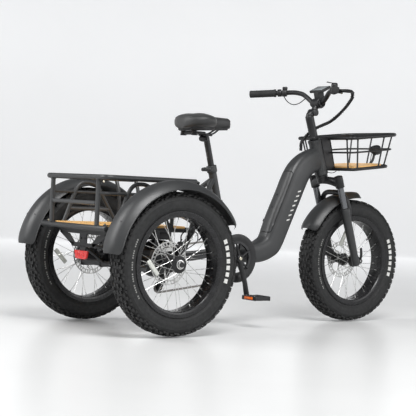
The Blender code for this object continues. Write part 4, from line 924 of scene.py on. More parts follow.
def fenders():
    for suffix, side in (("left", 1), ("right", -1)):
        centre = REAR_AXLE + side * HALF_TRACK * Y_AXIS
        bolts = [(150, side * 0.45), (104, side * -0.5), (52, side * 0.42), (150, side * -0.5)]
        fender(
            f"fender_{suffix}_sheet", "frame", f"fender_rear_{suffix}", centre, 0.3335, radians(29),
            radians(173),
            0.0640, 0.034, 0.050, bolts,
        )
    fender(
        "fender_front_sheet", "fork_lower", "front_fender", FRONT_AXLE, 0.3260, radians(86),
        radians(153),
        0.0600, 0.027, 0.045, [(108, 0.0), (118, 0.3), (118, -0.3)],
    )


fenders()

# Main frame and battery

# Along the down tube: middle (x, z), direction of its depth in degrees, half depth, half width
TUBE_STATIONS = (
    (-0.085, 0.305, -90, 0.030, 0.028),
    (-0.018, 0.315, -90, 0.040, 0.036),
    (0.054, 0.324, -88, 0.048, 0.043),
    (0.106, 0.343, -58, 0.052, 0.044),
    (0.136, 0.372, -37, 0.056, 0.044),
    (0.178, 0.467, -24, 0.059, 0.044),
    (0.230, 0.578, -24, 0.059, 0.044),
    (0.259, 0.643, -24, 0.060, 0.043),
    (0.290, 0.697, -30, 0.060, 0.040),
    (0.335, 0.735, -46, 0.058, 0.035),
    (0.398, 0.762, -70.5, 0.054, 0.028),
)


def tube_stations(per):
    """The stations with smooth ones between them."""
    made = []
    for i in range(len(TUBE_STATIONS) - 1):
        a = TUBE_STATIONS[max(0, i - 1)]
        b = TUBE_STATIONS[i]
        c = TUBE_STATIONS[i + 1]
        d = TUBE_STATIONS[min(len(TUBE_STATIONS) - 1, i + 2)]
        for k in range(per):
            t = k / per
            made.append([
                0.5 * (
                    2 * q + (r - p) * t + (2 * p - 5 * q + 4 * r - s) * t * t
                    + (3 * q - p - 3 * r + s) * t**3
                )
                for p, q, r, s in zip(a, b, c, d)
            ])
    made.append(list(TUBE_STATIONS[-1]))
    return made


def tube_ring(station, sides=40, grow=0.0):
    x, z, turn, half_depth, half_width = station
    depth = Vector((cos(radians(turn)), 0, sin(radians(turn))))
    ring = []
    for k in range(sides):
        angle = 2 * pi * (k + 0.5) / sides
        c, s = cos(angle), sin(angle)
        power = 2 / 3.4
        a = (half_depth + grow) * (abs(c) ** power) * (1 if c > 0 else -1)
        b = (half_width + grow) * (abs(s) ** power) * (1 if s > 0 else -1)
        ring.append(Vector((x, 0, z)) + a * depth + b * Y_AXIS)
    return ring


BATTERY_ALONG = Vector((sin(radians(24)), 0, cos(radians(24))))
BATTERY_OUT = Vector((-cos(radians(24)), 0, sin(radians(24))))
BATTERY_LOW = Vector((0.157, 0, 0.420))
BATTERY_START = -0.031
BATTERY_END = 0.278


def battery_cutter(inset, trim, corner=0.012):
    """Block with two rounded corners that parts the battery's cover from the tube."""
    low, high = BATTERY_START + trim, BATTERY_END - trim
    points = []
    for k in range(9):
        angle = radians(180 + 90 * k / 8)
        points.append((low + corner + corner * cos(angle), inset + corner + corner * sin(angle)))
    for k in range(9):
        angle = radians(270 + 90 * k / 8)
        points.append((high - corner + corner * cos(angle), inset + corner + corner * sin(angle)))
    points += [(high, 0.14), (low, 0.14)]
    shape = Shape()
    shape.plate(
        [BATTERY_LOW + BATTERY_ALONG * a + BATTERY_OUT * b for a, b in points], Y_AXIS, 0.14, PAINT
    )
    return shape


def carve(obj, tool, operation):
    step = obj.modifiers.new("carve", "BOOLEAN")
    step.operation = operation
    step.solver = "EXACT"
    step.object = tool
    graph = bpy.context.evaluated_depsgraph_get()
    result = bpy.data.meshes.new_from_object(obj.evaluated_get(graph))
    obj.modifiers.clear()
    obj.data = result
    bpy.data.objects.remove(tool, do_unlink=True)
    return obj


def soften(obj, width=0.0012, segments=2, sharp=40):
    obj.data.shade_smooth()
    obj.data.set_sharp_from_angle(angle=radians(sharp))
    step = obj.modifiers.new("edges", "BEVEL")
    step.width = width
    step.segments = segments
    step.limit_method = "ANGLE"
    step.angle_limit = radians(42)
    step.harden_normals = True
    return obj


def main_frame():
    rings = [tube_ring(s) for s in tube_stations(8)]
    body = Shape()
    body.loft(rings, PAINT)
    tube = body.build("frame_down_tube", None)
    carve(tube, battery_cutter(0.0420, 0.0).build("cutter", None), "DIFFERENCE")
    soften(tube, 0.0009)
    seat(tube, "frame", "main_frame")
    cover = Shape()
    cover.loft([tube_ring(s, grow=0.0006) for s in tube_stations(8)], PAINT)
    panel = cover.build("battery_cover", None)
    carve(panel, battery_cutter(0.0448, 0.0026, 0.0110).build("cutter", None), "INTERSECT")
    soften(panel, 0.0016)
    seat(panel, "battery", "battery_pack")

    trim = Shape()
    for along in (0.092, 0.155):
        spot = BATTERY_LOW + BATTERY_ALONG * along + BATTERY_OUT * 0.0594
        trim.bolt(spot, BATTERY_OUT, 0.0044, METAL, 0.0012)
    body = []
    for along, out in ((0.010, -0.010), (0.235, -0.010), (0.245, 0.0455), (0.000, 0.0455)):
        body.append(BATTERY_LOW + BATTERY_ALONG * along + BATTERY_OUT * out)
    trim.plate(rounded(body, 0.012, 4, closed=True), Y_AXIS, 0.058, PLASTIC)
    lock = BATTERY_LOW + BATTERY_ALONG * 0.028 + BATTERY_OUT * 0.0500 + 0.0335 * Y_AXIS
    facing = (Y_AXIS + BATTERY_OUT * 0.55).normalized()
    trim.lathe(
        [
            (0, 0.0010), (0.0062, 0.0010), (0.0074, 0.0016), (0.0080, 0.0006), (0.0080, -0.004),
            (0, -0.004)
        ],
        lock, facing, METAL, 24, False
    )
    trim.build("battery_fittings", "battery")

    head = Shape()
    low, high = 0.444, 0.612
    span = STEER_UP * (high - low)
    profile = [
        (0.0181, 0.0), (0.0290, 0.0), (0.0315, 0.0016), (0.0318, 0.0110), (0.0304, 0.0140),
        (0.0298, 0.0200)
    ]
    profile += [
        (0.0298, 0.1480), (0.0304, 0.1540), (0.0318, 0.1570), (0.0315, 0.1664), (0.0290, 0.1680),
        (0.0181, 0.1680)
    ]
    head.lathe(profile, STEER_BASE + STEER_UP * low, span, PAINT, 48)
    shell = [
        (0.0127, -0.0360), (0.0280, -0.0360), (0.0292, -0.0350), (0.0292, 0.0350), (0.0280, 0.0360),
        (0.0127, 0.0360)
    ]
    head.lathe(shell, BOTTOM_BRACKET, Y_AXIS, PAINT, 48)
    for side in (-1, 1):
        cup = [
            (0.0086, side * 0.0362), (0.0236, side * 0.0362), (0.0248, side * 0.0372),
            (0.0248, side * 0.0430), (0.0236, side * 0.0444), (0.0086, side * 0.0444)
        ]
        head.lathe(cup, BOTTOM_BRACKET, Y_AXIS, METAL, 24)
    head.tube(tube_ring(tube_stations(8)[6], 48, 0.0004), 0.0014, PAINT, 6, closed=True)
    ahead = Vector((cos(radians(-24)), 0, sin(radians(-24))))
    for k in range(7):
        spot = Vector((0.178, 0, 0.467)).lerp(Vector((0.259, 0, 0.643)), 0.08 + 0.125 * k)
        for side in (-1, 1):
            middle = spot + ahead * 0.0200 + side * 0.0439 * Y_AXIS
            bar = []
            for a, b in ((-0.0085, -0.0070), (-0.0015, -0.0070), (0.0085, 0.0070), (0.0015, 0.0070)):
                bar.append(middle + BATTERY_ALONG * a + ahead * b)
            head.plate(bar, Y_AXIS, 0.0008, MARKING)
    head.build("frame_head_tube", "frame", slot="frame_paint")


main_frame()


# Rear frame

INNER_PLATE_Y = 0.098
OUTER_PLATE_Y = 0.246
STAY_FALL = Vector((-0.958, 0.657, -1.0))


def seat_point(distance):
    return BOTTOM_BRACKET + SEAT_UP * distance


def stay_point(side, drop):
    return Vector((-0.2055, 0, 0.645)) + drop * Vector((STAY_FALL.x, side * STAY_FALL.y, STAY_FALL.z))


def rear_frame():
    shape = Shape()
    tube = [
        (0.0146, 0.0), (0.0180, 0.0), (0.0180, 0.352), (0.0222, 0.3560), (0.0226, 0.3580),
        (0.0226, 0.3820), (0.0216, 0.3840), (0.0146, 0.3840)
    ]
    shape.lathe(tube, seat_point(0.0315), SEAT_UP, PAINT, 40)
    shape.weld(seat_point(0.036), SEAT_UP, 0.0185, PAINT)
    for dy in (-0.0085, 0.0085):
        shape.block(
            seat_point(0.405) + Vector((-0.027, dy, -0.007)), (0.020, 0.0055, 0.018), PAINT, 0.002
        )
    gusset = [
        seat_point(0.372), seat_point(0.28), seat_point(0.30) + Vector((-0.050, 0, -0.014)),
        seat_point(0.345) + Vector((-0.034, 0, -0.008))
    ]
    shape.plate(gusset, Y_AXIS, 0.008, PAINT)
    for side in (-1, 1):
        end = Vector((-0.5885, side * 0.2350, 0.3060))
        stay = [
            stay_point(side, 0.0) + Vector((0.012, 0, 0)), stay_point(side, 0.010),
            stay_point(side, 0.315), end
        ]
        shape.tube(rounded(stay, 0.03, 6), 0.0112, PAINT, 20)
        shape.weld(
            stay_point(side, 0.006), stay_point(side, 1) - stay_point(side, 0), 0.0118, PAINT, 0.0016
        )
        chainstay = [
            seat_point(0.055) + Vector((0, side * 0.006, 0)),
            seat_point(0.062) + Vector((-0.075, side * 0.030, -0.040)),
            Vector((-0.345, side * INNER_PLATE_Y, 0.300)),
            MOTOR + Vector((0.012, side * INNER_PLATE_Y, 0.004)),
        ]
        shape.tube(rounded(chainstay, 0.07, 8), 0.0108, PAINT, 20)
    low = Vector((-0.6985, 0, 0.262))
    reach = OUTER_PLATE_Y * Y_AXIS
    shape.rod(low - reach, low + reach, 0.0122, PAINT, 24)
    for y in (-0.246, -0.098, 0.098, 0.246):
        for lean in (-0.0036, 0.0036):
            shape.weld(low + (y + lean * 1.2) * Y_AXIS, Y_AXIS, 0.0124, PAINT, 0.0015)
    arm_x = -0.860
    for side in (-1, 1):
        arm = [
            (arm_x, side * 0.084, 0.3420), (-0.800, side * 0.084, 0.3330),
            (-0.700, side * 0.084, 0.2640)
        ]
        shape.tube(rounded(arm, 0.04, 8), 0.0072, PAINT, 14)
    shape.rod(MOTOR - 0.106 * Y_AXIS, MOTOR + 0.106 * Y_AXIS, 0.0068, SPOKE, 20, chamfer=0.001)
    for side in (-1, 1):
        shape.lathe(
            [(0, 0.0060), (0.0092, 0.0060), (0.0104, 0.0050), (0.0104, 0.0), (0, 0.0)],
            MOTOR + side * 0.1020 * Y_AXIS, side * Y_AXIS, SPOKE, 6, False
        )
    shape.build("rear_frame_tubes", "frame", "rear_frame", "frame_paint")

    plates = Shape()
    for side in (-1, 1):
        y = side * INNER_PLATE_Y
        inner = [
            (-0.714, 0.246), (-0.714, 0.278), (-0.668, 0.326), (-0.600, 0.330), (-0.462, 0.312),
            (-0.462, 0.270), (-0.560, 0.250)
        ]
        plates.plate(
            rounded([(x, y, z) for x, z in inner], 0.010, 3, closed=True), Y_AXIS, 0.007, PAINT
        )
        y = side * OUTER_PLATE_Y
        outer = [
            (-0.714, 0.244), (-0.714, 0.278), (-0.668, 0.322), (-0.600, 0.338), (-0.575, 0.330),
            (-0.590, 0.262), (-0.612, 0.244)
        ]
        plates.plate(
            rounded([(x, y, z) for x, z in outer], 0.010, 3, closed=True), Y_AXIS, 0.007, PAINT
        )
        for x, z in ((-0.6985, 0.262), (-0.598, 0.318)):
            plates.bolt(
                Vector((x + 0.012, side * (OUTER_PLATE_Y + 0.0036), z + 0.012)), side * Y_AXIS, 0.0042
            )
    x = -0.860
    bars = [
        [(-0.180, 0.4040), (0.180, 0.4040), (0.180, 0.3880), (-0.180, 0.3880)],
        [
            (-0.112, 0.3540), (-0.075, 0.3360), (0.075, 0.3360), (0.112, 0.3540), (0.070, 0.3520),
            (-0.070, 0.3520)
        ],
        [(-0.026, 0.3880), (0.026, 0.3880), (0.026, 0.3500), (-0.026, 0.3500)],
        [(-0.022, 0.3400), (0.022, 0.3400), (0.022, 0.3200), (-0.022, 0.3200)],
    ]
    for bar in bars:
        plates.plate([(x, y, z) for y, z in bar], X_AXIS, 0.0052, METAL)
    for side in (-1, 1):
        slope = [
            (0.180, 0.3880), (0.180, 0.4000), (0.150, 0.3900), (0.108, 0.3860), (0.066, 0.3520),
            (0.075, 0.3360)
        ]
        plates.plate([(x, side * y, z) for y, z in slope], X_AXIS, 0.0052, METAL)
        plates.bolt(Vector((x - 0.0028, side * 0.013, 0.3700)), -X_AXIS, 0.0045, METAL)
    plates.block(Vector((x, 0, 0.4054)), (0.034, 0.360, 0.0050), PAINT, 0.0015)
    plates.build("rear_frame_plates", "frame", slot="frame_paint", bevel=0.0011)


rear_frame()


# Rear rack

RACK_REAR = -0.911
RACK_FRONT = -0.4585
RACK_FLOOR = 0.4195
RACK_TOP = 0.621


def rear_rack():
    shape = Shape()
    half, top_half = 0.172, 0.228
    low = RACK_FLOOR - 0.002
    rail = [
        (-0.4735, -top_half, RACK_TOP), (RACK_REAR, -top_half, RACK_TOP),
        (RACK_REAR, top_half, RACK_TOP), (-0.4735, top_half, RACK_TOP)
    ]
    shape.tube(rounded(rail, 0.040, 8), 0.0110, PAINT, 20, round_end=0.0030)
    for x, reach in ((RACK_REAR, 0.240), (RACK_FRONT, 0.205)):
        shape.tube(
            [(x, -reach, RACK_FLOOR), (x, 0, RACK_FLOOR), (x, reach, RACK_FLOOR)], 0.0110, PAINT, 20,
            round_end=0.0025
        )
    for y in (-0.195, -0.068, 0.068, 0.195):
        shape.rod((RACK_REAR, y, low), (RACK_FRONT, y, low), 0.0076, PAINT, 16)
        for x in (RACK_REAR + 0.0118, RACK_FRONT - 0.0118):
            shape.weld((x, y, low), X_AXIS, 0.0084, PAINT, 0.0015)
    shape.rod((RACK_REAR, -half, 0.518), (RACK_REAR, half, 0.518), 0.0086, PAINT, 18)
    for side in (-1, 1):
        shape.rod(
            (RACK_REAR, side * half, RACK_FLOOR), (RACK_REAR, side * half, RACK_TOP), 0.0096, PAINT, 18
        )
        for z in (RACK_FLOOR + 0.012, RACK_TOP - 0.012):
            shape.weld((RACK_REAR, side * half, z), Z_AXIS, 0.0104, PAINT, 0.0015)
        shape.weld((RACK_REAR, side * (half - 0.0105), 0.518), Y_AXIS, 0.0092, PAINT, 0.0014)
        for x in (-0.563, -0.461):
            post = [(x, side * 0.195, low), (x, side * 0.2000, 0.570), (x, side * top_half, RACK_TOP)]
            shape.tube(rounded(post, 0.04, 8), 0.0081, PAINT, 16)
            shape.weld((x, side * 0.1952, low + 0.0095), Z_AXIS, 0.0086, PAINT, 0.0014)
        side_rail = [
            (RACK_REAR, side * half, 0.557), (RACK_REAR + 0.02, side * 0.1990, 0.557),
            (-0.461, side * 0.1990, 0.557)
        ]
        shape.tube(rounded(side_rail, 0.02, 5), 0.0063, PAINT, 14)
        hoop = [
            (-0.8430, side * 0.195, low), (-0.7690, side * 0.2005, 0.6000),
            (-0.6850, side * 0.2005, 0.6000), (-0.5660, side * 0.195, low)
        ]
        shape.tube(rounded(hoop, 0.040, 10), 0.0086, PAINT, 18)
        shape.rod((-0.815, side * 0.1972, 0.487), (-0.612, side * 0.1972, 0.487), 0.0076, PAINT, 16)
        foot = Vector((REAR_AXLE.x + 0.004, side * 0.195, 0.3120))
        shape.rod(foot, (foot.x, foot.y, low), 0.0086, PAINT, 16)
        saddle = []
        for k in range(9):
            angle = radians(40 + 100 * k / 8)
            saddle.append(REAR_AXLE + side * 0.195 * Y_AXIS + radial(angle) * 0.0275)
        saddle.append(REAR_AXLE + side * 0.195 * Y_AXIS + Vector((-0.013, 0, 0.046)))
        saddle.append(REAR_AXLE + side * 0.195 * Y_AXIS + Vector((0.017, 0, 0.046)))
        shape.plate(saddle, Y_AXIS, 0.030, PAINT)
        for x, z in ((RACK_REAR + 0.0115, 0.4320), (REAR_AXLE.x, 0.6045)):
            shape.bolt(Vector((x, side * 0.2130, z + 0.002)), -side * Y_AXIS, 0.0050)
            shape.block(Vector((x, side * 0.2280, z)), (0.018, 0.030, 0.0040), METAL, 0.0012)
    shape.build("rack_tubes", "frame", "rear_rack", "frame_paint")

    deck = Shape()
    z = RACK_FLOOR - 0.002 + 0.0079 + 0.00475
    x0, x1 = RACK_REAR + 0.012, RACK_FRONT - 0.012
    count = 6
    width = 0.330 / count
    for i in range(count):
        y = -0.165 + width * (i + 0.5)
        deck.block(Vector(((x0 + x1) / 2, y, z)), (x1 - x0, width - 0.0016, 0.0095), WOOD, 0.0012)
        for x in (x0 + 0.030, x1 - 0.030):
            deck.bolt(Vector((x, y, z + 0.0048)), Z_AXIS, 0.0032, BOLT, 0.0008)
    deck.build("rack_boards", "frame", "rear_rack_floor", "wood")

    lens = Shape()
    x = -0.8670
    outline = [
        (x, -0.050, 0.3205), (x, 0.050, 0.3205), (x, 0.041, 0.2895), (x, 0.030, 0.2860),
        (x, -0.030, 0.2860), (x, -0.041, 0.2895)
    ]
    lens.plate(rounded(outline, 0.005, 4, closed=True), X_AXIS, 0.0080, RED)
    for y in (-0.017, 0.017):
        lens.lathe(
            [(0, 0.0052), (0.0095, 0.0048), (0.0110, 0.0036), (0.0110, -0.003), (0, -0.003)],
            Vector((x, y, 0.305)), -X_AXIS, RED, 20, False
        )
    lens.build("tail_lens", "frame", "tail_reflector", "red_lens", bevel=0.0012)


rear_rack()


# Front basket

BASKET_PITCH = radians(6.84)
BASKET_BACK = Vector((0.485, 0, 0.717))
BASKET_LENGTH = 0.242
BASKET_HALF = 0.165
BASKET_DEPTH = 0.1460
BASKET_AHEAD = radial(BASKET_PITCH)
BASKET_UP = Vector((-sin(BASKET_PITCH), 0, cos(BASKET_PITCH)))


def basket_point(x, y, height):
    return BASKET_BACK + BASKET_AHEAD * x + BASKET_UP * height + y * Y_AXIS


def basket_wall(x, y, rise):
    stretch = (BASKET_LENGTH + 0.066 * rise) / BASKET_LENGTH
    widen = (BASKET_HALF + 0.025 * rise) / BASKET_HALF
    return basket_point(x * stretch - 0.018 * rise, y * widen, BASKET_DEPTH * rise)


def basket_outline(rise, inset=0.0):
    corners = [
        Vector((inset, -BASKET_HALF + inset)), Vector((BASKET_LENGTH - inset, -BASKET_HALF + inset))
    ]
    corners += [
        Vector((BASKET_LENGTH - inset, BASKET_HALF - inset)), Vector((inset, BASKET_HALF - inset))
    ]
    path = []
    for i, corner in enumerate(corners):
        reach, steps = (0.070, 12) if corner.x > 0.1 else (0.016, 6)
        start = corner + (corners[i - 1] - corner).normalized() * reach
        end = corner + (corners[(i + 1) % 4] - corner).normalized() * reach
        for k in range(steps + 1):
            t = k / steps
            point = (1 - t) ** 2 * start + 2 * t * (1 - t) * corner + t * t * end
            path.append(basket_wall(point.x, point.y, rise))
    return path


def front_basket():
    shape = Shape()
    for rise, radius in ((0.0, 0.0075), (0.54, 0.0042), (1.0, 0.0085)):
        shape.tube(basket_outline(rise), radius, METAL, 16, closed=True)
    ribs = [(BASKET_LENGTH, 0.0), (0.0, 0.125), (0.0, -0.125)]
    for side in (-1, 1):
        ribs += [
            (0.020, side * BASKET_HALF), (0.155, side * BASKET_HALF),
            (BASKET_LENGTH - 0.003, side * 0.118)
        ]
    for x, y in ribs:
        shape.rod(basket_wall(x, y, 0.0), basket_wall(x, y, 1.0), 0.0038, METAL, 14)
        for rise, radius in ((0.06, 0.0042), (0.54, 0.0045), (0.935, 0.0042)):
            shape.weld(basket_wall(x, y, rise), BASKET_UP, radius, METAL, 0.0011)
    for y in (-0.080, 0.080):
        shape.rod(basket_point(0.0, y, 0.0), basket_point(BASKET_LENGTH, y, 0.0), 0.0040, METAL, 14)
    shape.build("basket_wires", "frame", "front_basket", "black_metal")

    mount = Shape()
    along = [(0.3980, 0.8560), (0.4560, 0.8600), (0.4960, 0.7160), (0.4420, 0.7160)]
    for side in (-1, 1):
        mount.plate([(x, side * 0.0230, z) for x, z in along], Y_AXIS, 0.0070, METAL)
    front = [
        (0.4560, -0.0265, 0.8600), (0.4560, 0.0265, 0.8600), (0.4960, 0.0265, 0.7160),
        (0.4960, -0.0265, 0.7160)
    ]
    face = (Vector((0.040, 0, -0.144)).normalized()).cross(Y_AXIS)
    mount.plate([Vector(p) + face * -0.003 for p in front], face, 0.0070, METAL)
    for t in (0.18, 0.50, 0.82):
        for side in (-1, 1):
            spot = Vector((0.4560, 0, 0.8600)).lerp(
                Vector((0.4960, 0, 0.7160)), t
            ) + side * 0.015 * Y_AXIS
            mount.bolt(spot + X_AXIS * 0.0010, X_AXIS, 0.0045, METAL)
    hook = [
        (0.4380, -0.016, 0.7170), (0.4500, -0.020, 0.7040), (0.4800, -0.022, 0.6990),
        (0.5080, -0.020, 0.7080), (0.5150, -0.016, 0.7200)
    ]
    mount.tube(flowing(hook, 7), 0.0017, RUBBER, 8)
    mount.build("basket_mount", "frame", slot="black_metal", bevel=0.0015)

    boards = Shape()
    count = 7
    inner = 0.152
    width = 2 * inner / count
    for i in range(count):
        y = -inner + width * (i + 0.5)
        outer_side = abs(y) + width / 2
        x_end = 0.229 if outer_side < 0.106 else 0.229 - (outer_side - 0.105) / 0.047 * 0.040
        x_near = 0.229 if abs(y) - width / 2 < 0.105 else 0.229 - (
            abs(y) - width / 2 - 0.105
        ) / 0.047 * 0.040
        inner_first = y < 0
        ends = (x_end, x_near) if inner_first else (x_near, x_end)
        outline = [
            (0.014, y - width / 2 + 0.0008), (ends[0], y - width / 2 + 0.0008),
            (ends[1], y + width / 2 - 0.0008), (0.014, y + width / 2 - 0.0008)
        ]
        boards.plate([basket_point(a, b, 0.0085) for a, b in outline], BASKET_UP, 0.0080, WOOD)
        boards.bolt(basket_point(0.030, y, 0.0126), BASKET_UP, 0.0028, BOLT, 0.0008)
        boards.bolt(basket_point(0.170, y, 0.0126), BASKET_UP, 0.0028, BOLT, 0.0008)
    boards.build("basket_boards", "frame", "front_basket_floor", "wood", bevel=0.0010)

    lamp = Shape()
    centre = basket_point(0.3040, 0, 0.072)
    ahead = Vector((1, 0, 0.02)).normalized()
    profile = [
        (0, -0.0260), (0.0080, -0.0258), (0.0118, -0.0240), (0.0150, -0.0190), (0.0170, -0.0150),
        (0.0172, -0.0130)
    ]
    profile += [
        (0.0196, -0.0100), (0.0198, -0.0080), (0.0216, -0.0040), (0.0236, 0.0080), (0.0240, 0.0160),
        (0.0232, 0.0196), (0.0206, 0.0200), (0.0196, 0.0170), (0, 0.0170)
    ]
    lamp.lathe(profile, centre, ahead, PLASTIC, 40, False)
    for k in range(5):
        reach = -0.0225 + k * 0.0036
        radius = 0.0135 + k * 0.0014
        lamp.lathe(
            [
                (radius, -0.0008), (radius + 0.0016, -0.0006), (radius + 0.0016, 0.0006),
                (radius, 0.0008)
            ],
            centre + ahead * reach, ahead, PLASTIC, 32
        )
    lamp.lathe(
        [(0, 0.0196), (0.0110, 0.0190), (0.0190, 0.0178), (0.0196, 0.0168), (0, 0.0168)], centre, ahead,
        CLEAR, 40, False
    )
    stalk = [
        centre + Vector((-0.004, 0, -0.010)), basket_point(0.2900, 0, 0.024),
        basket_point(0.2570, 0, 0.000)
    ]
    lamp.tube(rounded(stalk, 0.02, 6), 0.0054, PLASTIC, 12, flat=1.2)
    lamp.bolt(centre + Vector((-0.003, -0.0075, -0.024)), -Y_AXIS, 0.0040, METAL)
    wire = [
        centre + Vector((-0.020, -0.004, -0.010)), centre + Vector((-0.032, -0.008, -0.034)),
        basket_point(0.262, -0.006, 0.016), basket_point(0.235, -0.004, -0.0105),
        basket_point(0.15, -0.004, -0.0115), basket_point(0.05, -0.004, -0.0115)
    ]
    lamp.tube(flowing(wire, 8), 0.0016, RUBBER, 8)
    lamp.build("headlight_unit", "frame", "headlight", "black_plastic")


front_basket()


# Saddle


def saddle_half_width(t):
    """Half width along the saddle, from 0 at the back to 1 at the nose."""
    lobe = 0.108 * sqrt(max(0.0, 1 - ((t - 0.30) / 0.312) ** 2)) if abs(t - 0.30) < 0.312 else 0.0
    neck = 0.030 + 0.052 * exp(-((t - 0.40) / 0.17) ** 2) if t > 0.28 else 0.0
    if t > 0.90:
        neck *= sqrt(max(0.0, 1 - ((t - 0.90) / 0.104) ** 2))
    return max(sqrt(lobe * lobe * 0.985 + 0.0000001), neck)


def saddle_top(t):
    back = 0.904 + 0.014 * sin(min(1.0, t * 1.65) * pi)
    nose = 0.913 - 0.008 * (t - 0.5)
    mix = 1 / (1 + exp(-(t - 0.56) * 26))
    height = back * (1 - mix) + nose * mix
    if t > 0.93:
        height -= 0.020 * ((t - 0.93) / 0.07) ** 2
    if t < 0.07:
        height -= 0.014 * ((0.07 - t) / 0.07) ** 2
    return height


def saddle():
    shape = Shape()
    steps, sides = 72, 56
    rings = []
    for i in range(steps + 1):
        t = i / steps
        s = 0.5 - 0.5 * cos(pi * t)
        t = 0.65 * t + 0.35 * s
        x = -0.396 + 0.262 * t
        half = max(0.006, saddle_half_width(min(0.996, max(0.004, t))))
        top = saddle_top(t)
        low = 0.8500 + 0.014 * min(1.0, t * 1.3)
        middle, tall = (top + low) / 2, (top - low) / 2
        ring = []
        for k in range(sides):
            angle = 2 * pi * k / sides
            c, s = cos(angle), sin(angle)
            power = 2 / (2.7 if s > 0 else 3.2)
            y = half * (abs(c) ** power) * (1 if c > 0 else -1)
            z = tall * (abs(s) ** power) * (1 if s > 0 else -1)
            if s > 0:
                channel = exp(-((y / 0.0085) ** 2)) * max(
                    0.0, min(1.0, (t - 0.12) / 0.15)
                ) * max(0.0, min(1.0, (0.92 - t) / 0.2))
                z -= 0.0050 * channel
                z += 0.0028 * exp(-(((abs(y) - 0.045) / 0.026) ** 2)) * exp(-(((t - 0.27) / 0.17) ** 2))
            else:
                y *= 0.93 + 0.07 * (1 - abs(s))
            ring.append(Vector((x, y, middle + z)))
        rings.append(ring)
    shape.loft(rings, VINYL)
    cover = shape.build("saddle_cover", None, sharp=70)
    seat(cover, "seat", "saddle_pad")

    trim = Shape()
    for side in (-1, 1):
        seam = []
        for ring in rings[4:-3]:
            seam.append(
                ring[5 if side > 0 else sides // 2 - 5].copy() + Vector((0, side * 0.0002, 0.0002))
            )
        trim.tube(seam, 0.0010, VINYL, 6)
        for k in range(0, len(seam) - 1):
            a, b = seam[k], seam[k + 1]
            inward = Vector((0, -side * 0.0040, 0.0011))
            lift = Z_AXIS * 0.0004
            for part in (0.08, 0.58):
                trim.tube(
                    [a.lerp(b, part) + inward + lift, a.lerp(b, part + 0.34) + inward + lift], 0.00055,
                    THREAD, 5
                )
    trim.build("saddle_seams", "seat")

    base = Shape()
    rings = []
    for i in range(25):
        t = 0.07 + 0.84 * i / 24
        x = -0.391 + 0.263 * t
        half = max(0.010, saddle_half_width(t) * 0.74 - 0.004)
        low = 0.8400 + 0.018 * t
        rings.append(
            [
                Vector((x, y * half, z)) for y,
                z in (
                    (-0.86, low), (-1, low + 0.006), (-1, 0.8700), (1, 0.8700), (1, low + 0.006),
                    (0.86, low)
                )
            ]
        )
    base.loft(rings, PLASTIC)
    clamp = seat_point(0.530) + Vector((-0.014, 0, 0.006))
    for side in (-1, 1):
        rail = [
            (-0.356, side * 0.036, 0.862),
            (-0.350, side * 0.034, 0.836),
            (clamp.x - 0.012, side * 0.0190, clamp.z + 0.0185),
            (clamp.x + 0.030, side * 0.0190, clamp.z + 0.0190),
            (-0.190, side * 0.012, 0.862),
        ]
        base.tube(rounded(rail, 0.018, 7), 0.0038, METAL, 12)
        spring = []
        for k in range(61):
            angle = 2 * pi * k / 12
            spring.append(
                Vector(
                    (
                        -0.350 + 0.0115 * cos(angle), side * 0.040 + 0.0115 * sin(angle),
                        0.826 + 0.034 * k / 60
                    )
                )
            )
        base.tube(spring, 0.0024, METAL, 8)
        base.rod(
            (-0.350, side * 0.040, 0.824), (-0.350, side * 0.040, 0.862), 0.0086, RUBBER, 20,
            chamfer=0.002
        )
        for z in (0.8225, 0.8600):
            base.rod(
                (-0.350, side * 0.040, z), (-0.350, side * 0.040, z + 0.0030), 0.0140, METAL, 24,
                chamfer=0.0008
            )
    base.rod((-0.350, -0.045, 0.831), (-0.350, 0.045, 0.831), 0.0062, METAL, 16)
    base.block(Vector((-0.318, 0, 0.8360)), (0.075, 0.060, 0.0120), PLASTIC, 0.004, segments=3)
    base.build("saddle_underside", "seat", "saddle_base", "black_plastic")

    post = Shape()
    post.rod(seat_point(0.20), seat_point(0.536), 0.0136, METAL, 40, chamfer=0.001)
    for k in range(8):
        mark = seat_point(0.455 + 0.006 * k)
        post.block(
            mark - (Z_AXIS * sin(SEAT_LEAN) + X_AXIS * cos(SEAT_LEAN)).normalized() * 0.0134,
            (0.0010, 0.006 if k % 4 else 0.010, 0.0007), MARKING, 0.0
        )
    head = [
        (0, -0.0240), (0.0105, -0.0240), (0.0118, -0.0228), (0.0118, -0.0150), (0.0140, -0.0138),
        (0.0140, 0.0138), (0.0118, 0.0150), (0.0118, 0.0228), (0.0105, 0.0240), (0, 0.0240)
    ]
    post.lathe(head, clamp, Y_AXIS, METAL, 32, False)
    for side in (-1, 1):
        post.block(
            clamp + Vector((0.006, side * 0.0190, 0.0150)), (0.040, 0.0120, 0.0085), METAL, 0.002
        )
        post.lathe(
            [(0, 0.0050), (0.0070, 0.0050), (0.0078, 0.0042), (0.0078, 0.0), (0, 0.0)],
            clamp + side * 0.0240 * Y_AXIS, side * Y_AXIS, METAL, 6, False
        )
    post.build("seat_post_tube", "seat", "seat_post", "black_metal")


saddle()


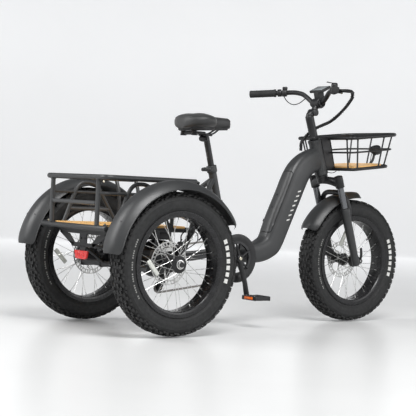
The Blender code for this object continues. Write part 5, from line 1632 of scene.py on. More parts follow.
def seat_clamp():
    pivot = seat_point(0.405) + Vector((-0.030, 0, -0.008))
    shape = Shape()
    shape.rod(pivot - 0.034 * Y_AXIS, pivot + 0.030 * Y_AXIS, 0.0030, METAL, 16)
    shape.lathe(
        [
            (0, -0.0400), (0.0070, -0.0400), (0.0088, -0.0385), (0.0090, -0.0280), (0.0074, -0.0262),
            (0, -0.0262)
        ],
        pivot, Y_AXIS, METAL, 24, False
    )
    shape.lathe(
        [
            (0, 0.0128), (0.0066, 0.0128), (0.0080, 0.0142), (0.0082, 0.0245), (0.0070, 0.0262),
            (0, 0.0262)
        ],
        pivot, Y_AXIS, METAL, 24, False
    )
    start = pivot + 0.022 * Y_AXIS
    arm = [start, start + Vector((0.018, 0.007, -0.003)), start + Vector((0.052, 0.006, -0.006))]
    shape.tube(
        flowing(arm, 6),
        [
            0.0046, 0.0046, 0.0045, 0.0044, 0.0042, 0.0041, 0.0040, 0.0040, 0.0041, 0.0043, 0.0046,
            0.0048, 0.0048
        ],
        METAL, 12, flat=0.75, round_end=0.003
    )
    shape.build("seat_clamp_handle", "seat_clamp", "seat_clamp_lever", "black_metal")


seat_clamp()


# Fork

LEG_SPREAD = 0.084
LEG_SETBACK = 0.033


def leg_point(side, distance, ahead=0.0):
    middle = FRONT_AXLE + STEER_UP * distance + STEER_AHEAD * (ahead - LEG_SETBACK)
    return middle + side * LEG_SPREAD * Y_AXIS


def fork():
    upper = Shape()
    upper.rod(STEER_BASE + STEER_UP * 0.425, STEER_BASE + STEER_UP * 0.668, 0.0140, METAL, 32)
    race = [
        (0.0140, 0.0), (0.0225, 0.0), (0.0262, 0.0060), (0.0270, 0.0200), (0.0262, 0.0240),
        (0.0280, 0.0270), (0.0280, 0.0370), (0.0140, 0.0370)
    ]
    upper.lathe(race, STEER_BASE + STEER_UP * 0.405, STEER_UP, METAL, 40)
    arch = []
    for k in range(25):
        w = -1 + 2 * k / 24
        lift = 0.415 - 0.022 * abs(w) ** 2.2
        ahead = -0.0330 * abs(w) ** 1.6 + (-0.052) * (1 - abs(w) ** 1.6)
        point = FRONT_AXLE + STEER_UP * lift + STEER_AHEAD * ahead + w * LEG_SPREAD * Y_AXIS
        arch.append(point)
    upper.tube(
        arch, [0.0175 + 0.0045 * abs(-1 + 2 * k / 24) ** 2 for k in range(25)], METAL, 24, flat=1.0
    )
    for side in (-1, 1):
        socket = [
            (0, 0.0), (0.0198, 0.0), (0.0206, 0.0012), (0.0210, 0.0300), (0.0206, 0.0500),
            (0.0198, 0.0536), (0.0150, 0.0548), (0.0140, 0.0530), (0, 0.0530)
        ]
        upper.lathe(socket, leg_point(side, 0.374), STEER_UP, METAL, 36, False)
        upper.lathe(
            [(0.0110, 0.0), (0.0118, 0.0012), (0.0118, 0.0030), (0.0095, 0.0040), (0, 0.0040)],
            leg_point(side, 0.4270), STEER_UP, PLASTIC, 24, False
        )
        upper.rod(leg_point(side, 0.150), leg_point(side, 0.376), 0.0150, STANCHION, 36)
        upper.bolt(leg_point(side, 0.392) - STEER_AHEAD * 0.0205, -STEER_AHEAD, 0.0038, METAL)
    upper.build("fork_crown_stanchions", "steering", "fork_upper", "black_metal")

    lower = Shape()
    for side in (-1, 1):
        profile = [
            (0, -0.0110), (0.0120, -0.0110), (0.0168, -0.0080), (0.0176, -0.0020), (0.0178, 0.060),
            (0.0196, 0.120), (0.0206, 0.230), (0.0210, 0.2440)
        ]
        profile += [
            (0.0218, 0.2460), (0.0220, 0.2620), (0.0212, 0.2680), (0.0182, 0.2690), (0.0166, 0.2670),
            (0.0160, 0.2600)
        ]
        lower.lathe(profile, leg_point(side, 0.0), STEER_UP, PAINT, 36, False)
        seal = [
            (0.0157, 0.2640), (0.0178, 0.2650), (0.0180, 0.2720), (0.0168, 0.2740), (0.0157, 0.2740)
        ]
        lower.lathe(seal, leg_point(side, 0.0), STEER_UP, RUBBER, 32)
    bridge = [
        leg_point(-1, 0.215, 0.012),
        leg_point(-1, 0.262, 0.026),
        leg_point(-1, 0.318, 0.025) + 0.006 * Y_AXIS,
        leg_point(-1, 0.3430, 0.023) + 0.040 * Y_AXIS,
    ]
    bridge += [Vector((p.x, -p.y, p.z)) for p in reversed(bridge)]
    path = rounded(bridge, 0.026, 8)
    lower.tube(path, 0.0118, METAL, 18, flat=1.15)
    dropout = (
        (-0.013, 0.009), (0.004, 0.0155), (0.020, 0.006), (0.046, -0.024), (0.046, -0.034),
        (0.0, -0.034), (-0.012, -0.020)
    )
    for side in (-1, 1):
        outline = [
            FRONT_AXLE + STEER_UP * s + STEER_AHEAD * n + side * 0.0645 * Y_AXIS for s, n in dropout
        ]
        lower.plate(rounded(outline, 0.005, 3, closed=True), Y_AXIS, 0.0130, PAINT)
    lower.rod(FRONT_AXLE - 0.0835 * Y_AXIS, FRONT_AXLE + 0.078 * Y_AXIS, 0.0048, SPOKE, 24)
    nut = [
        (0, 0.0690), (0.0104, 0.0690), (0.0108, 0.0700), (0.0100, 0.0790), (0.0080, 0.0802), (0, 0.0802)
    ]
    lower.lathe(nut, FRONT_AXLE, Y_AXIS, METAL, 24, False)
    lower.build("fork_lower_legs", "fork_lower", "fork_lowers", "frame_paint", bevel=0.0010)

    pivot = FRONT_AXLE - 0.0800 * Y_AXIS
    lever = Shape()
    cam = [
        (0.0053, -0.0066), (0.0095, -0.0066), (0.0108, -0.0054), (0.0110, 0.0066), (0.0098, 0.0080),
        (0.0053, 0.0080)
    ]
    lever.lathe(cam, pivot + 0.001 * Y_AXIS, Y_AXIS, METAL, 32)
    start = pivot + Vector((0.0, -0.001, 0.0080))
    arm = flowing(
        [start, start + Vector((0, -0.004, 0.022)), start + Vector((-0.004, -0.005, 0.052))], 8
    )
    lever.tube(
        arm, [0.0060 + 0.0010 * sin(k / (len(arm) - 1) * pi) for k in range(len(arm))], METAL, 12,
        flat=0.8, round_end=0.003
    )
    lever.build("front_release_lever", "axle_lever", "front_axle_lever", "black_metal")


fork()


# Cockpit

STEM_HINGE = Vector((0.363, 0, 0.974))
BAR_CENTRE = Vector((0.389, 0, 1.018))
BAR_PATH = (
    (0.3890, 0.000, 1.0180),
    (0.3890, 0.035, 1.0220),
    (0.3835, 0.065, 1.0450),
    (0.3735, 0.090, 1.0640),
    (0.3560, 0.125, 1.0705),
    (0.3385, 0.155, 1.0690),
    (0.2235, 0.292, 1.0560),
)
GRIP_LENGTH = 0.122


def bar_side(side):
    return [Vector((x, side * y, z)) for x, y, z in BAR_PATH]


def bar_end_axis(side):
    points = bar_side(side)
    return points[-1], (points[-1] - points[-2]).normalized()


def lever_frame(side):
    tip, out = bar_end_axis(side)
    ahead = Vector((0, 0, -0.08)) + out.cross(Z_AXIS) * side * -1.0
    if ahead.x < 0:
        ahead = Vector((-ahead.x, -ahead.y, ahead.z))
    ahead = (ahead - ahead.dot(out) * out).normalized()
    return tip - out * (GRIP_LENGTH + 0.012) + ahead * 0.036, out, ahead


def cockpit():
    bar = Shape()
    path = list(reversed(bar_side(-1))) + bar_side(1)[1:]
    bar.tube(rounded(path, 0.026, 8), 0.0111, METAL, 24)
    bar.rod(BAR_CENTRE - 0.026 * Y_AXIS, BAR_CENTRE + 0.026 * Y_AXIS, 0.0145, METAL, 32, chamfer=0.0012)
    bar.build("bar_tube", "steering", "handlebar", "black_metal")

    stem = Shape()
    base = STEER_BASE + STEER_UP * 0.6145
    top = STEER_BASE + STEER_UP * 0.728
    column = [
        (0.0144, 0.0), (0.0216, 0.0), (0.0222, 0.0010), (0.0222, 0.0120), (0.0206, 0.0132),
        (0.0200, 0.0150), (0.0200, 0.1020), (0.0196, 0.1100), (0.0170, 0.1140), (0, 0.1150)
    ]
    stem.lathe(column, base, STEER_UP, METAL, 40, False)
    neck = [top - STEER_UP * 0.022 - STEER_AHEAD * 0.002, top + STEER_UP * 0.004, STEM_HINGE]
    stem.tube(rounded(neck, 0.014, 6), 0.0168, METAL, 28)
    hinge = [
        (0.0, -0.0240), (0.0085, -0.0240), (0.0098, -0.0226), (0.0150, -0.0220), (0.0165, -0.0205),
        (0.0165, -0.0076), (0.0156, -0.0070), (0.0156, -0.0062), (0.0165, -0.0056)
    ]
    stem.lathe(hinge + [(r, -h) for r, h in reversed(hinge)], STEM_HINGE, Y_AXIS, METAL, 36, False)
    stem.tube(
        [STEM_HINGE, STEM_HINGE.lerp(BAR_CENTRE, 0.5), BAR_CENTRE], [0.0155, 0.0138, 0.0155], METAL, 28
    )
    clamp = [
        (0.0150, -0.0240), (0.0222, -0.0240), (0.0236, -0.0226), (0.0236, 0.0226), (0.0222, 0.0240),
        (0.0150, 0.0240)
    ]
    stem.lathe(clamp, BAR_CENTRE, Y_AXIS, METAL, 40)
    for side in (-1, 1):
        for lift in (-1, 1):
            spot = BAR_CENTRE + Vector((0.0215, side * 0.0155, lift * 0.0120))
            stem.bolt(spot, Vector((1, 0, lift * 0.25)), 0.0036, METAL)
        stem.bolt(
            base + STEER_UP * (0.010 if side > 0 else 0.026) - STEER_AHEAD * 0.0205, -STEER_AHEAD,
            0.0036, METAL
        )
    stem.build("stem_unit", "steering", "stem", "black_metal")

    for side, suffix in ((-1, "right"), (1, "left")):
        tip, out = bar_end_axis(side)
        grip = Shape()
        profile = [(0, 0.0042), (0.0130, 0.0042), (0.0160, 0.0030), (0.0172, 0.0006)]
        ribs = 15
        for k in range(ribs):
            start = -0.006 - k * (GRIP_LENGTH - 0.020) / ribs
            deep = 0.0161 if 3 < k < 12 else 0.0166
            profile += [
                (0.0171, start), (0.0171, start - 0.0044), (deep, start - 0.0050),
                (deep, start - 0.0062)
            ]
        profile += [
            (0.0168, -GRIP_LENGTH + 0.012), (0.0185, -GRIP_LENGTH + 0.010),
            (0.0187, -GRIP_LENGTH + 0.001), (0.0180, -GRIP_LENGTH), (0.0120, -GRIP_LENGTH)
        ]
        grip.lathe(profile, tip, out, RUBBER, 40, False)
        grip.build(f"grip_{suffix}_ribbed", "steering", f"grip_{suffix}", "rubber", 50)

        pivot, out, ahead = lever_frame(side)
        across = ahead.cross(out).normalized()
        perch = Shape()
        ring = [
            (0.0114, -GRIP_LENGTH - 0.008), (0.0166, -GRIP_LENGTH - 0.008),
            (0.0176, -GRIP_LENGTH - 0.010), (0.0176, -GRIP_LENGTH - 0.024),
            (0.0166, -GRIP_LENGTH - 0.026), (0.0114, -GRIP_LENGTH - 0.026)
        ]
        perch.lathe(ring, tip, out, METAL, 36)
        centre = tip - out * (GRIP_LENGTH + 0.017)
        outline = [
            centre + ahead * 0.0145 - out * 0.010, centre + ahead * 0.0145 + out * 0.009,
            pivot + out * 0.010 + ahead * 0.006, pivot - out * 0.024 + ahead * 0.006
        ]
        for level in (-0.0078, 0.0078):
            perch.plate(
                [p + across * level for p in rounded(outline, 0.004, 3, closed=True)], across, 0.0046,
                METAL
            )
        back = [
            centre + ahead * 0.0145 - out * 0.010, centre + ahead * 0.0145 + out * 0.009,
            centre + ahead * 0.024 + out * 0.006, pivot - out * 0.013 - ahead * 0.002,
            pivot - out * 0.024 + ahead * 0.006
        ]
        perch.plate(back, across, 0.0200, METAL)
        perch.rod(pivot - across * 0.0108, pivot + across * 0.0108, 0.0024, BOLT, 16)
        perch.bolt(pivot + across * 0.0102, across, 0.0036)
        perch.rod(
            pivot - out * 0.020, pivot - out * 0.050 - ahead * 0.004, 0.0052, METAL, 20, chamfer=0.001
        )
        for k in range(4):
            perch.lathe(
                [(0.0050, -0.0012), (0.0060, -0.0008), (0.0060, 0.0008), (0.0050, 0.0012)],
                pivot - out * (0.030 + 0.004 * k) - ahead * 0.001, -out, METAL, 16
            )
        if side < 0:
            pod = centre - out * 0.022 + Z_AXIS * 0.024 + ahead * 0.004
            perch.lathe(
                [
                    (0, -0.0110), (0.0128, -0.0110), (0.0150, -0.0090), (0.0152, 0.0040),
                    (0.0140, 0.0058), (0, 0.0060)
                ],
                pod, Z_AXIS, PLASTIC, 36, False
            )
            perch.rod(centre - out * 0.004 + Z_AXIS * 0.0160, pod - Z_AXIS * 0.001, 0.0072, METAL, 20)
            box = centre - out * 0.036 + ahead * 0.012 - Z_AXIS * 0.002
            perch.lathe(
                [
                    (0.0114, -0.009), (0.0168, -0.009), (0.0176, -0.007), (0.0176, 0.007),
                    (0.0168, 0.009), (0.0114, 0.009)
                ],
                tip - out * (GRIP_LENGTH + 0.042), out, PLASTIC, 32
            )
            perch.block(
                box + Z_AXIS * 0.010, (0.030, 0.020, 0.020), PLASTIC, 0.004,
                Matrix.Rotation(radians(-48), 4, "Z"), 3
            )
        else:
            perch.lathe(
                [
                    (0.0114, -0.010), (0.0170, -0.010), (0.0180, -0.008), (0.0180, 0.008),
                    (0.0170, 0.010), (0.0114, 0.010)
                ],
                tip - out * (GRIP_LENGTH + 0.042), out, PLASTIC, 32
            )
            switch = tip - out * (GRIP_LENGTH + 0.042) + Z_AXIS * 0.021
            perch.block(
                switch, (0.020, 0.024, 0.013), PLASTIC, 0.003, Matrix.Rotation(radians(48), 4, "Z"), 3
            )
            for k in (-1, 0, 1):
                perch.lathe(
                    [(0, 0.0080), (0.0022, 0.0080), (0.0028, 0.0072), (0.0028, 0.0), (0, 0.0)],
                    switch + out * 0.0060 * k, Z_AXIS, RUBBER, 14, False
                )
            loop = [
                pivot - out * 0.020,
                Vector((0.3260, 0.1660, 1.0480)),
                Vector((0.3360, 0.1520, 1.0260)),
                Vector((0.3500, 0.1290, 1.0130)),
                Vector((0.3640, 0.1000, 1.0200)),
                Vector((0.3770, 0.0740, 1.0420)),
            ]
            perch.tube(flowing(loop, 8), 0.0022, RUBBER, 10)
        perch.build(
            f"brake_perch_{suffix}_body", "steering", f"brake_perch_{suffix}", "black_metal",
            bevel=0.0008
        )

        lever = Shape()
        lever.lathe(
            [
                (0.0030, -0.0044), (0.0080, -0.0044), (0.0088, -0.0036), (0.0088, 0.0036),
                (0.0080, 0.0044), (0.0030, 0.0044)
            ],
            pivot, across, METAL, 24
        )
        blade = rounded(
            [
                pivot + out * 0.0060, pivot + out * 0.030 + ahead * 0.013,
                pivot + out * 0.062 + ahead * 0.030, pivot + out * 0.086 + ahead * 0.042,
                pivot + out * 0.092 + ahead * 0.046
            ],
            0.02, 6
        )
        count = len(blade)
        sizes = [
            0.0066 - 0.0014 * (k / (count - 1)) + (0.0012 if k > count - 4 else 0) for k in range(count)
        ]
        lever.tube(blade, sizes, METAL, 16, flat=0.62, round_end=0.003)
        lever.build(f"brake_blade_{suffix}", f"lever_{suffix}", f"brake_lever_{suffix}", "black_metal")

    tip, out = bar_end_axis(-1)
    pivot, _, ahead = lever_frame(-1)
    pod = tip - out * (GRIP_LENGTH + 0.039) + Z_AXIS * 0.024 + ahead * 0.004
    hub = pod + Z_AXIS * 0.0064
    shifter = Shape()
    shifter.lathe(
        [
            (0, 0.0), (0.0125, 0.0), (0.0132, 0.0010), (0.0130, 0.0036), (0.0112, 0.0046),
            (0.0050, 0.0048), (0.0042, 0.0040), (0, 0.0040)
        ],
        hub, Z_AXIS, PLASTIC, 36, False
    )
    shifter.tube(
        [
            hub + Z_AXIS * 0.0022, hub + Z_AXIS * 0.0030 - ahead * 0.016 + out * 0.002,
            hub + Z_AXIS * 0.0040 - ahead * 0.034 + out * 0.004
        ],
        [0.0058, 0.0052, 0.0070], PLASTIC, 16, flat=0.34, round_end=0.003
    )
    shifter.build("shift_paddle", "shifter", "shift_lever", "black_plastic")

    screen = Shape()
    turn = Matrix.Rotation(radians(-26), 4, "Y")
    middle = BAR_CENTRE + Vector((0.012, 0, 0.066))
    screen.block(middle, (0.062, 0.088, 0.013), PLASTIC, 0.0042, turn, 3)
    normal = turn @ Z_AXIS
    screen.block(middle + normal * 0.0062, (0.050, 0.074, 0.0014), SCREEN, 0.0006, turn)
    screen.block(
        BAR_CENTRE + Vector((0.006, 0, 0.0400)), (0.036, 0.036, 0.042), PLASTIC, 0.005,
        Matrix.Rotation(radians(-14), 4, "Y"), 3
    )
    for side in (-1, 1):
        screen.lathe(
            [(0.0148, -0.0036), (0.0186, -0.0036), (0.0186, 0.0036), (0.0148, 0.0036)],
            BAR_CENTRE + side * 0.0300 * Y_AXIS + Vector((0, 0, 0.0012)), Y_AXIS, PLASTIC, 28
        )
    screen.build("display_unit", "steering", "display", "black_plastic", bevel=0.0)


cockpit()


# Cables


def cables():
    trunk = [
        (
            0.4020, -0.1420, 1.0745
        ), (0.4600, -0.1420, 1.0780), (0.4860, -0.1300, 1.0560), (0.4830, -0.1100, 1.0240),
        (
            0.4760, -0.0850, 0.9930
        ), (0.4660, -0.0500, 0.9610), (0.4480, -0.0200, 0.9350), (0.4220, 0.0000, 0.9175),
        (
            0.3920, 0.0180, 0.8985
        ), (0.3660, 0.0300, 0.8760), (0.3340, 0.0360, 0.8350), (0.3280, 0.0340, 0.7950),
    ]
    middle = flowing(trunk, 14)
    shape = Shape()
    for strand in range(3):
        path = []
        for k, point in enumerate(middle):
            before, after = middle[max(0, k - 1)], middle[min(len(middle) - 1, k + 1)]
            across, along = across_of(after - before)
            angle = 2 * pi * strand / 3 + k * 0.035
            path.append(point + 0.0044 * (cos(angle) * across + sin(angle) * along))
        shape.tube(path, 0.0034, RUBBER, 10)
    wrap = []
    for k in range(20, len(middle) - 6):
        for part in range(3):
            t = part / 3
            point = middle[k].lerp(middle[k + 1], t)
            across, along = across_of(middle[k + 1] - middle[k])
            angle = (k + t) * 1.9
            wrap.append(point + 0.0080 * (cos(angle) * across + sin(angle) * along))
    shape.tube(wrap, 0.0008, PLASTIC, 5)
    for spot in (30, 74, 118):
        across, along = across_of(middle[spot + 1] - middle[spot])
        tie = [
            middle[spot] + 0.0084 * (cos(2 * pi * k / 16) * across + sin(2 * pi * k / 16) * along) for k
            in range(16)
        ]
        shape.tube(tie, 0.0012, PLASTIC, 6, closed=True)
    loom = shape.build("cable_bundle", None)
    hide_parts("cable_loom")
    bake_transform(loom)

    hoses = Shape()
    fork_point = Vector((-0.262, 0, 0.602))
    lead = [Vector((-0.152, 0, 0.350)), Vector((-0.196, 0, 0.490)), fork_point]
    hoses.tube(flowing(rounded(lead, 0.04, 3), 4), 0.0034, RUBBER, 12)
    for side in (-1, 1):
        fall = Vector((STAY_FALL.x, side * STAY_FALL.y, STAY_FALL.z)).normalized()
        outboard = (side * Y_AXIS - fall * fall.y * side).normalized()
        above = (Z_AXIS - fall * fall.z).normalized()
        path = [
            fork_point,
            stay_point(side, 0.050) + above * 0.0170,
            stay_point(side, 0.085) + (above + outboard).normalized() * 0.0165,
            stay_point(side, 0.120) + outboard * 0.0158,
            stay_point(side, 0.270) + outboard * 0.0158,
            Vector((-0.5060, side * 0.2460, 0.3960)),
            Vector((-0.5450, side * 0.2740, 0.4200)),
            Vector((-0.5720, side * 0.2800, 0.4050)),
            Vector((-0.5745, side * 0.2800, 0.3810)),
        ]
        hoses.tube(flowing(path, 7), 0.0028, RUBBER, 10)
        for drop in (0.14, 0.20, 0.26):
            spot = stay_point(side, drop) + outboard * 0.004
            across, along = across_of(fall)
            tie = [
                spot + (0.0150 * cos(2 * pi * k / 20)) * outboard
                + 0.0122 * sin(2 * pi * k / 20) * fall.cross(outboard) for k in range(20)
            ]
            hoses.tube(tie, 0.0011, PLASTIC, 6, closed=True)
    hoses.build("rear_hoses", "frame", "rear_brake_lines", "rubber")


cables()


# Drive


def crank_point(angle, distance, y):
    return BOTTOM_BRACKET + Vector((cos(angle) * distance, y, sin(angle) * distance))


def toothed_ring(shape, centre, y, root, teeth, tall, inner, thickness, material):
    """A flat ring with pointed teeth round it."""
    outer_row = []
    for i in range(teeth):
        for part, reach in (
            (0.0, root), (0.30, root + tall * 0.55), (0.5, root + tall), (0.70, root + tall * 0.55)
        ):
            angle = 2 * pi * (i + part) / teeth
            outer_row.append((angle, reach))
    rings = [[], [], [], []]
    for angle, reach in outer_row:
        direction = radial(angle)
        base = Vector(centre) + y * Y_AXIS
        rings[0].append(base + direction * inner - thickness / 2 * Y_AXIS)
        rings[1].append(base + direction * reach - thickness / 2 * Y_AXIS)
        rings[2].append(base + direction * reach + thickness / 2 * Y_AXIS)
        rings[3].append(base + direction * inner + thickness / 2 * Y_AXIS)
    return shape.loft(rings, material, closed=True)


def drive():
    for side, angle, name in ((-1, CRANK_ANGLE, "right"), (1, CRANK_ANGLE + pi, "left")):
        arm = Shape()
        path, sizes = [], []
        for k in range(15):
            t = k / 14
            reach = -0.004 + (CRANK_LENGTH + 0.008) * t
            y = side * (0.0890 + 0.0120 * min(1.0, t * 1.6) ** 1.3)
            path.append(crank_point(angle, reach, y))
            sizes.append(0.0078 - 0.0014 * sin(t * pi))
        arm.tube(path, sizes, METAL, 20, flat=1.75)
        boss = [
            (0, 0.0800), (0.0155, 0.0800), (0.0168, 0.0812), (0.0168, 0.0960), (0.0152, 0.0978),
            (0.0090, 0.0982), (0.0080, 0.0960), (0, 0.0960)
        ]
        arm.lathe([(r, side * h) for r, h in boss], BOTTOM_BRACKET, Y_AXIS, METAL, 32, False)
        arm.bolt(crank_point(0, 0, side * 0.0962), side * Y_AXIS, 0.0070)
        end = [
            (0, 0.0930), (0.0122, 0.0930), (0.0134, 0.0942), (0.0134, 0.1064), (0.0120, 0.1078),
            (0, 0.1080)
        ]
        arm.lathe(
            [(r, side * h) for r, h in end], crank_point(angle, CRANK_LENGTH, 0), Y_AXIS, METAL, 28,
            False
        )
        if side < 0:
            for i in range(5):
                turn = CRANK_ANGLE + 2 * pi * (i + 0.5) / 5
                arm.tube(
                    [
                        crank_point(turn, 0.004, -0.0835), crank_point(turn, 0.035, -0.0822),
                        crank_point(turn, 0.0680, -0.0802)
                    ],
                    [0.0078, 0.0060, 0.0050], METAL, 16, flat=0.8
                )
                arm.bolt(crank_point(turn, 0.0665, -0.0832), -Y_AXIS, 0.0040, METAL)
        else:
            arm.rod(crank_point(0, 0, -0.0960), crank_point(0, 0, 0.088), 0.0082, SPOKE, 24)
        arm.build(f"crank_{name}_arm", "crankset", f"crank_{name}", "black_metal")

    ring = Shape()
    toothed_ring(ring, BOTTOM_BRACKET, CHAINLINE, 0.0865, 44, 0.0058, 0.0640, 0.0022, SPOKE)
    guard = [
        (0.0740, -0.0690), (0.0740, -0.0722), (0.0760, -0.0732), (0.1030, -0.0732), (0.1062, -0.0722),
        (0.1070, -0.0708), (0.1062, -0.0692), (0.1030, -0.0688)
    ]
    ring.lathe(guard, BOTTOM_BRACKET, Y_AXIS, METAL, 96)
    inner = [(0.0640, -0.0600), (0.0640, -0.0726), (0.0760, -0.0726), (0.0760, -0.0600)]
    ring.lathe(inner, BOTTOM_BRACKET, Y_AXIS, METAL, 96)
    for i in range(5):
        turn = CRANK_ANGLE + 2 * pi * i / 5
        spoke = []
        for k in range(5):
            spoke.append(crank_point(turn + 0.22 * k / 4, 0.022 + 0.046 * k / 4, -0.0662))
        ring.tube(spoke, [0.0095, 0.0070, 0.0060, 0.0070, 0.0095], METAL, 14, flat=0.22)
    ring.lathe(
        [(0.0200, -0.0640), (0.0290, -0.0640), (0.0290, -0.0684), (0.0200, -0.0684)], BOTTOM_BRACKET,
        Y_AXIS, METAL, 48
    )
    ring.build("chainring_toothed", "crankset", "chainring", "black_metal")

    for side, angle, name in ((-1, CRANK_ANGLE, "right"), (1, CRANK_ANGLE + pi, "left")):
        hub = crank_point(angle, CRANK_LENGTH, side * 0.165)
        pedal = Shape()
        for dx in (-0.0385, 0.0385):
            pedal.block(hub + Vector((dx, 0, 0)), (0.0090, 0.094, 0.019), PLASTIC, 0.003, segments=3)
            for k in range(5):
                for level in (-1, 1):
                    spot = hub + Vector((dx, -0.036 + 0.018 * k, level * 0.0095))
                    pedal.rod(spot, spot + level * Z_AXIS * 0.0014, 0.0016, SPOKE, 8)
            reflector = hub + Vector((dx + (0.0046 if dx > 0 else -0.0046), 0, 0))
            pedal.block(reflector, (0.0030, 0.056, 0.0115), AMBER, 0.0010)
        for dy in (-0.0410, 0.0410):
            pedal.block(hub + Vector((0, dy, 0)), (0.082, 0.0095, 0.018), PLASTIC, 0.003, segments=3)
        pedal.block(hub, (0.024, 0.086, 0.020), PLASTIC, 0.006, segments=3)
        for dy in (-0.020, 0.0, 0.020):
            pedal.block(hub + Vector((0, dy, 0)), (0.078, 0.0046, 0.010), PLASTIC, 0.001)
        pedal.rod(crank_point(angle, CRANK_LENGTH, side * 0.1088), hub, 0.0060, SPOKE, 20)
        pedal.rod(
            crank_point(angle, CRANK_LENGTH, side * 0.1088),
            crank_point(angle, CRANK_LENGTH, side * 0.1130), 0.0078, SPOKE, 8
        )
        pedal.build(f"pedal_{name}_cage", f"pedal_{name[0]}", f"pedal_{name}", "black_plastic")

    sprockets = Shape()
    for i in range(7):
        radius = 0.0560 - i * 0.0046
        y = -0.0512 - i * 0.0036
        toothed_ring(
            sprockets, MOTOR, y, radius - 0.004, 28 - i * 2, 0.0050, radius - 0.0150, 0.0016, SPOKE
        )
    sprockets.lathe(
        [(0.0172, -0.0500), (0.0260, -0.0500), (0.0220, -0.0780), (0.0172, -0.0800)], MOTOR, Y_AXIS,
        METAL, 40
    )
    sprockets.build("cassette_toothed", "sprockets", "cassette", "steel")

    motor = Shape()
    profile = [
        (0.0078, 0.0480), (0.0190, 0.0480), (0.0205, 0.0470), (0.0260, 0.0462), (0.0600, 0.0412),
        (0.0640, 0.0390), (0.0660, 0.0360), (0.0760, 0.0300)
    ]
    profile += [
        (0.0790, 0.0280), (0.0800, 0.0262), (0.0800, 0.0150), (0.0788, 0.0140), (0.0788, 0.0120),
        (0.0800, 0.0110)
    ]
    back = [(r, -h) for r, h in reversed(profile[8:])]
    profile += back + [
        (0.0760, -0.0300), (0.0660, -0.0360), (0.0600, -0.0402), (0.0260, -0.0440), (0.0205, -0.0450),
        (0.0165, -0.0470), (0.0165, -0.0860), (0.0078, -0.0860)
    ]
    motor.lathe(profile, MOTOR, Y_AXIS, METAL, 72)
    for i in range(8):
        angle = 2 * pi * i / 8
        for side in (-1, 1):
            motor.bolt(
                MOTOR + Vector((cos(angle) * 0.0705, side * 0.0334, sin(angle) * 0.0705)),
                side * Y_AXIS, 0.0034
            )
    for i in range(18):
        angle = 2 * pi * i / 18
        out = radial(angle)
        motor.plate(
            [
                MOTOR + out * 0.028 + 0.0462 * Y_AXIS, MOTOR + out * 0.056 + 0.0420 * Y_AXIS,
                MOTOR + out * 0.056 + 0.0400 * Y_AXIS, MOTOR + out * 0.028 + 0.0440 * Y_AXIS
            ],
            out.cross(Y_AXIS), 0.0024, METAL
        )
    motor.build("motor_shell", "hub_motor", "motor", "black_metal")


drive()


def chain_path():
    """The loop that the chain follows round ring, sprocket and guide wheels."""
    lift = 0.0042
    lower, upper = Vector((-0.520, 0, 0.172)), Vector((-0.497, 0, 0.2155))
    path = []
    for k in range(41):
        angle = radians(88 - 174 * k / 40)
        path.append(BOTTOM_BRACKET + 0.0946 * radial(angle))
    for middle, start, end in ((lower, -80, -263.1), (upper, -83.1, 68.1)):
        for k in range(17):
            angle = radians(start + (end - start) * k / 16)
            path.append(middle + (0.0160 + lift) * radial(angle))
    for k in range(21):
        angle = radians(-111.9 - 155.1 * k / 20)
        path.append(MOTOR + 0.0534 * radial(angle))
    return path


def chain():
    path = chain_path()
    lengths = [0.0]
    for i in range(len(path)):
        lengths.append(lengths[-1] + (path[(i + 1) % len(path)] - path[i]).length)
    total = lengths[-1]
    count = int(total / 0.0127 / 2) * 2
    pitch = total / count

    def at(distance):
        distance %= total
        for i in range(len(path)):
            if lengths[i + 1] >= distance:
                t = (distance - lengths[i]) / max(1e-9, lengths[i + 1] - lengths[i])
                return path[i].lerp(path[(i + 1) % len(path)], t)
        return path[0]

    shape = Shape()
    for i in range(count):
        a, b = at(i * pitch), at((i + 1) * pitch)
        spread = 0.0026 if i % 2 else 0.0016
        along = (b - a).normalized()
        up = along.cross(Y_AXIS)
        for side in (-1, 1):
            y = CHAINLINE + side * spread
            outline = []
            for end, turn in ((b, -90), (a, 90)):
                for k in range(5):
                    angle = radians(turn + 45 * k)
                    outline.append(end + 0.0039 * (cos(angle) * along + sin(angle) * up) + y * Y_AXIS)
            shape.plate(outline, Y_AXIS, 0.0009, CHAIN)
        shape.rod(
            a + (CHAINLINE - 0.0031) * Y_AXIS, a + (CHAINLINE + 0.0031) * Y_AXIS, 0.0023, CHAIN, 8
        )
    shape.build("chain_links", "frame", "pedal_chain", "steel", 50)


chain()


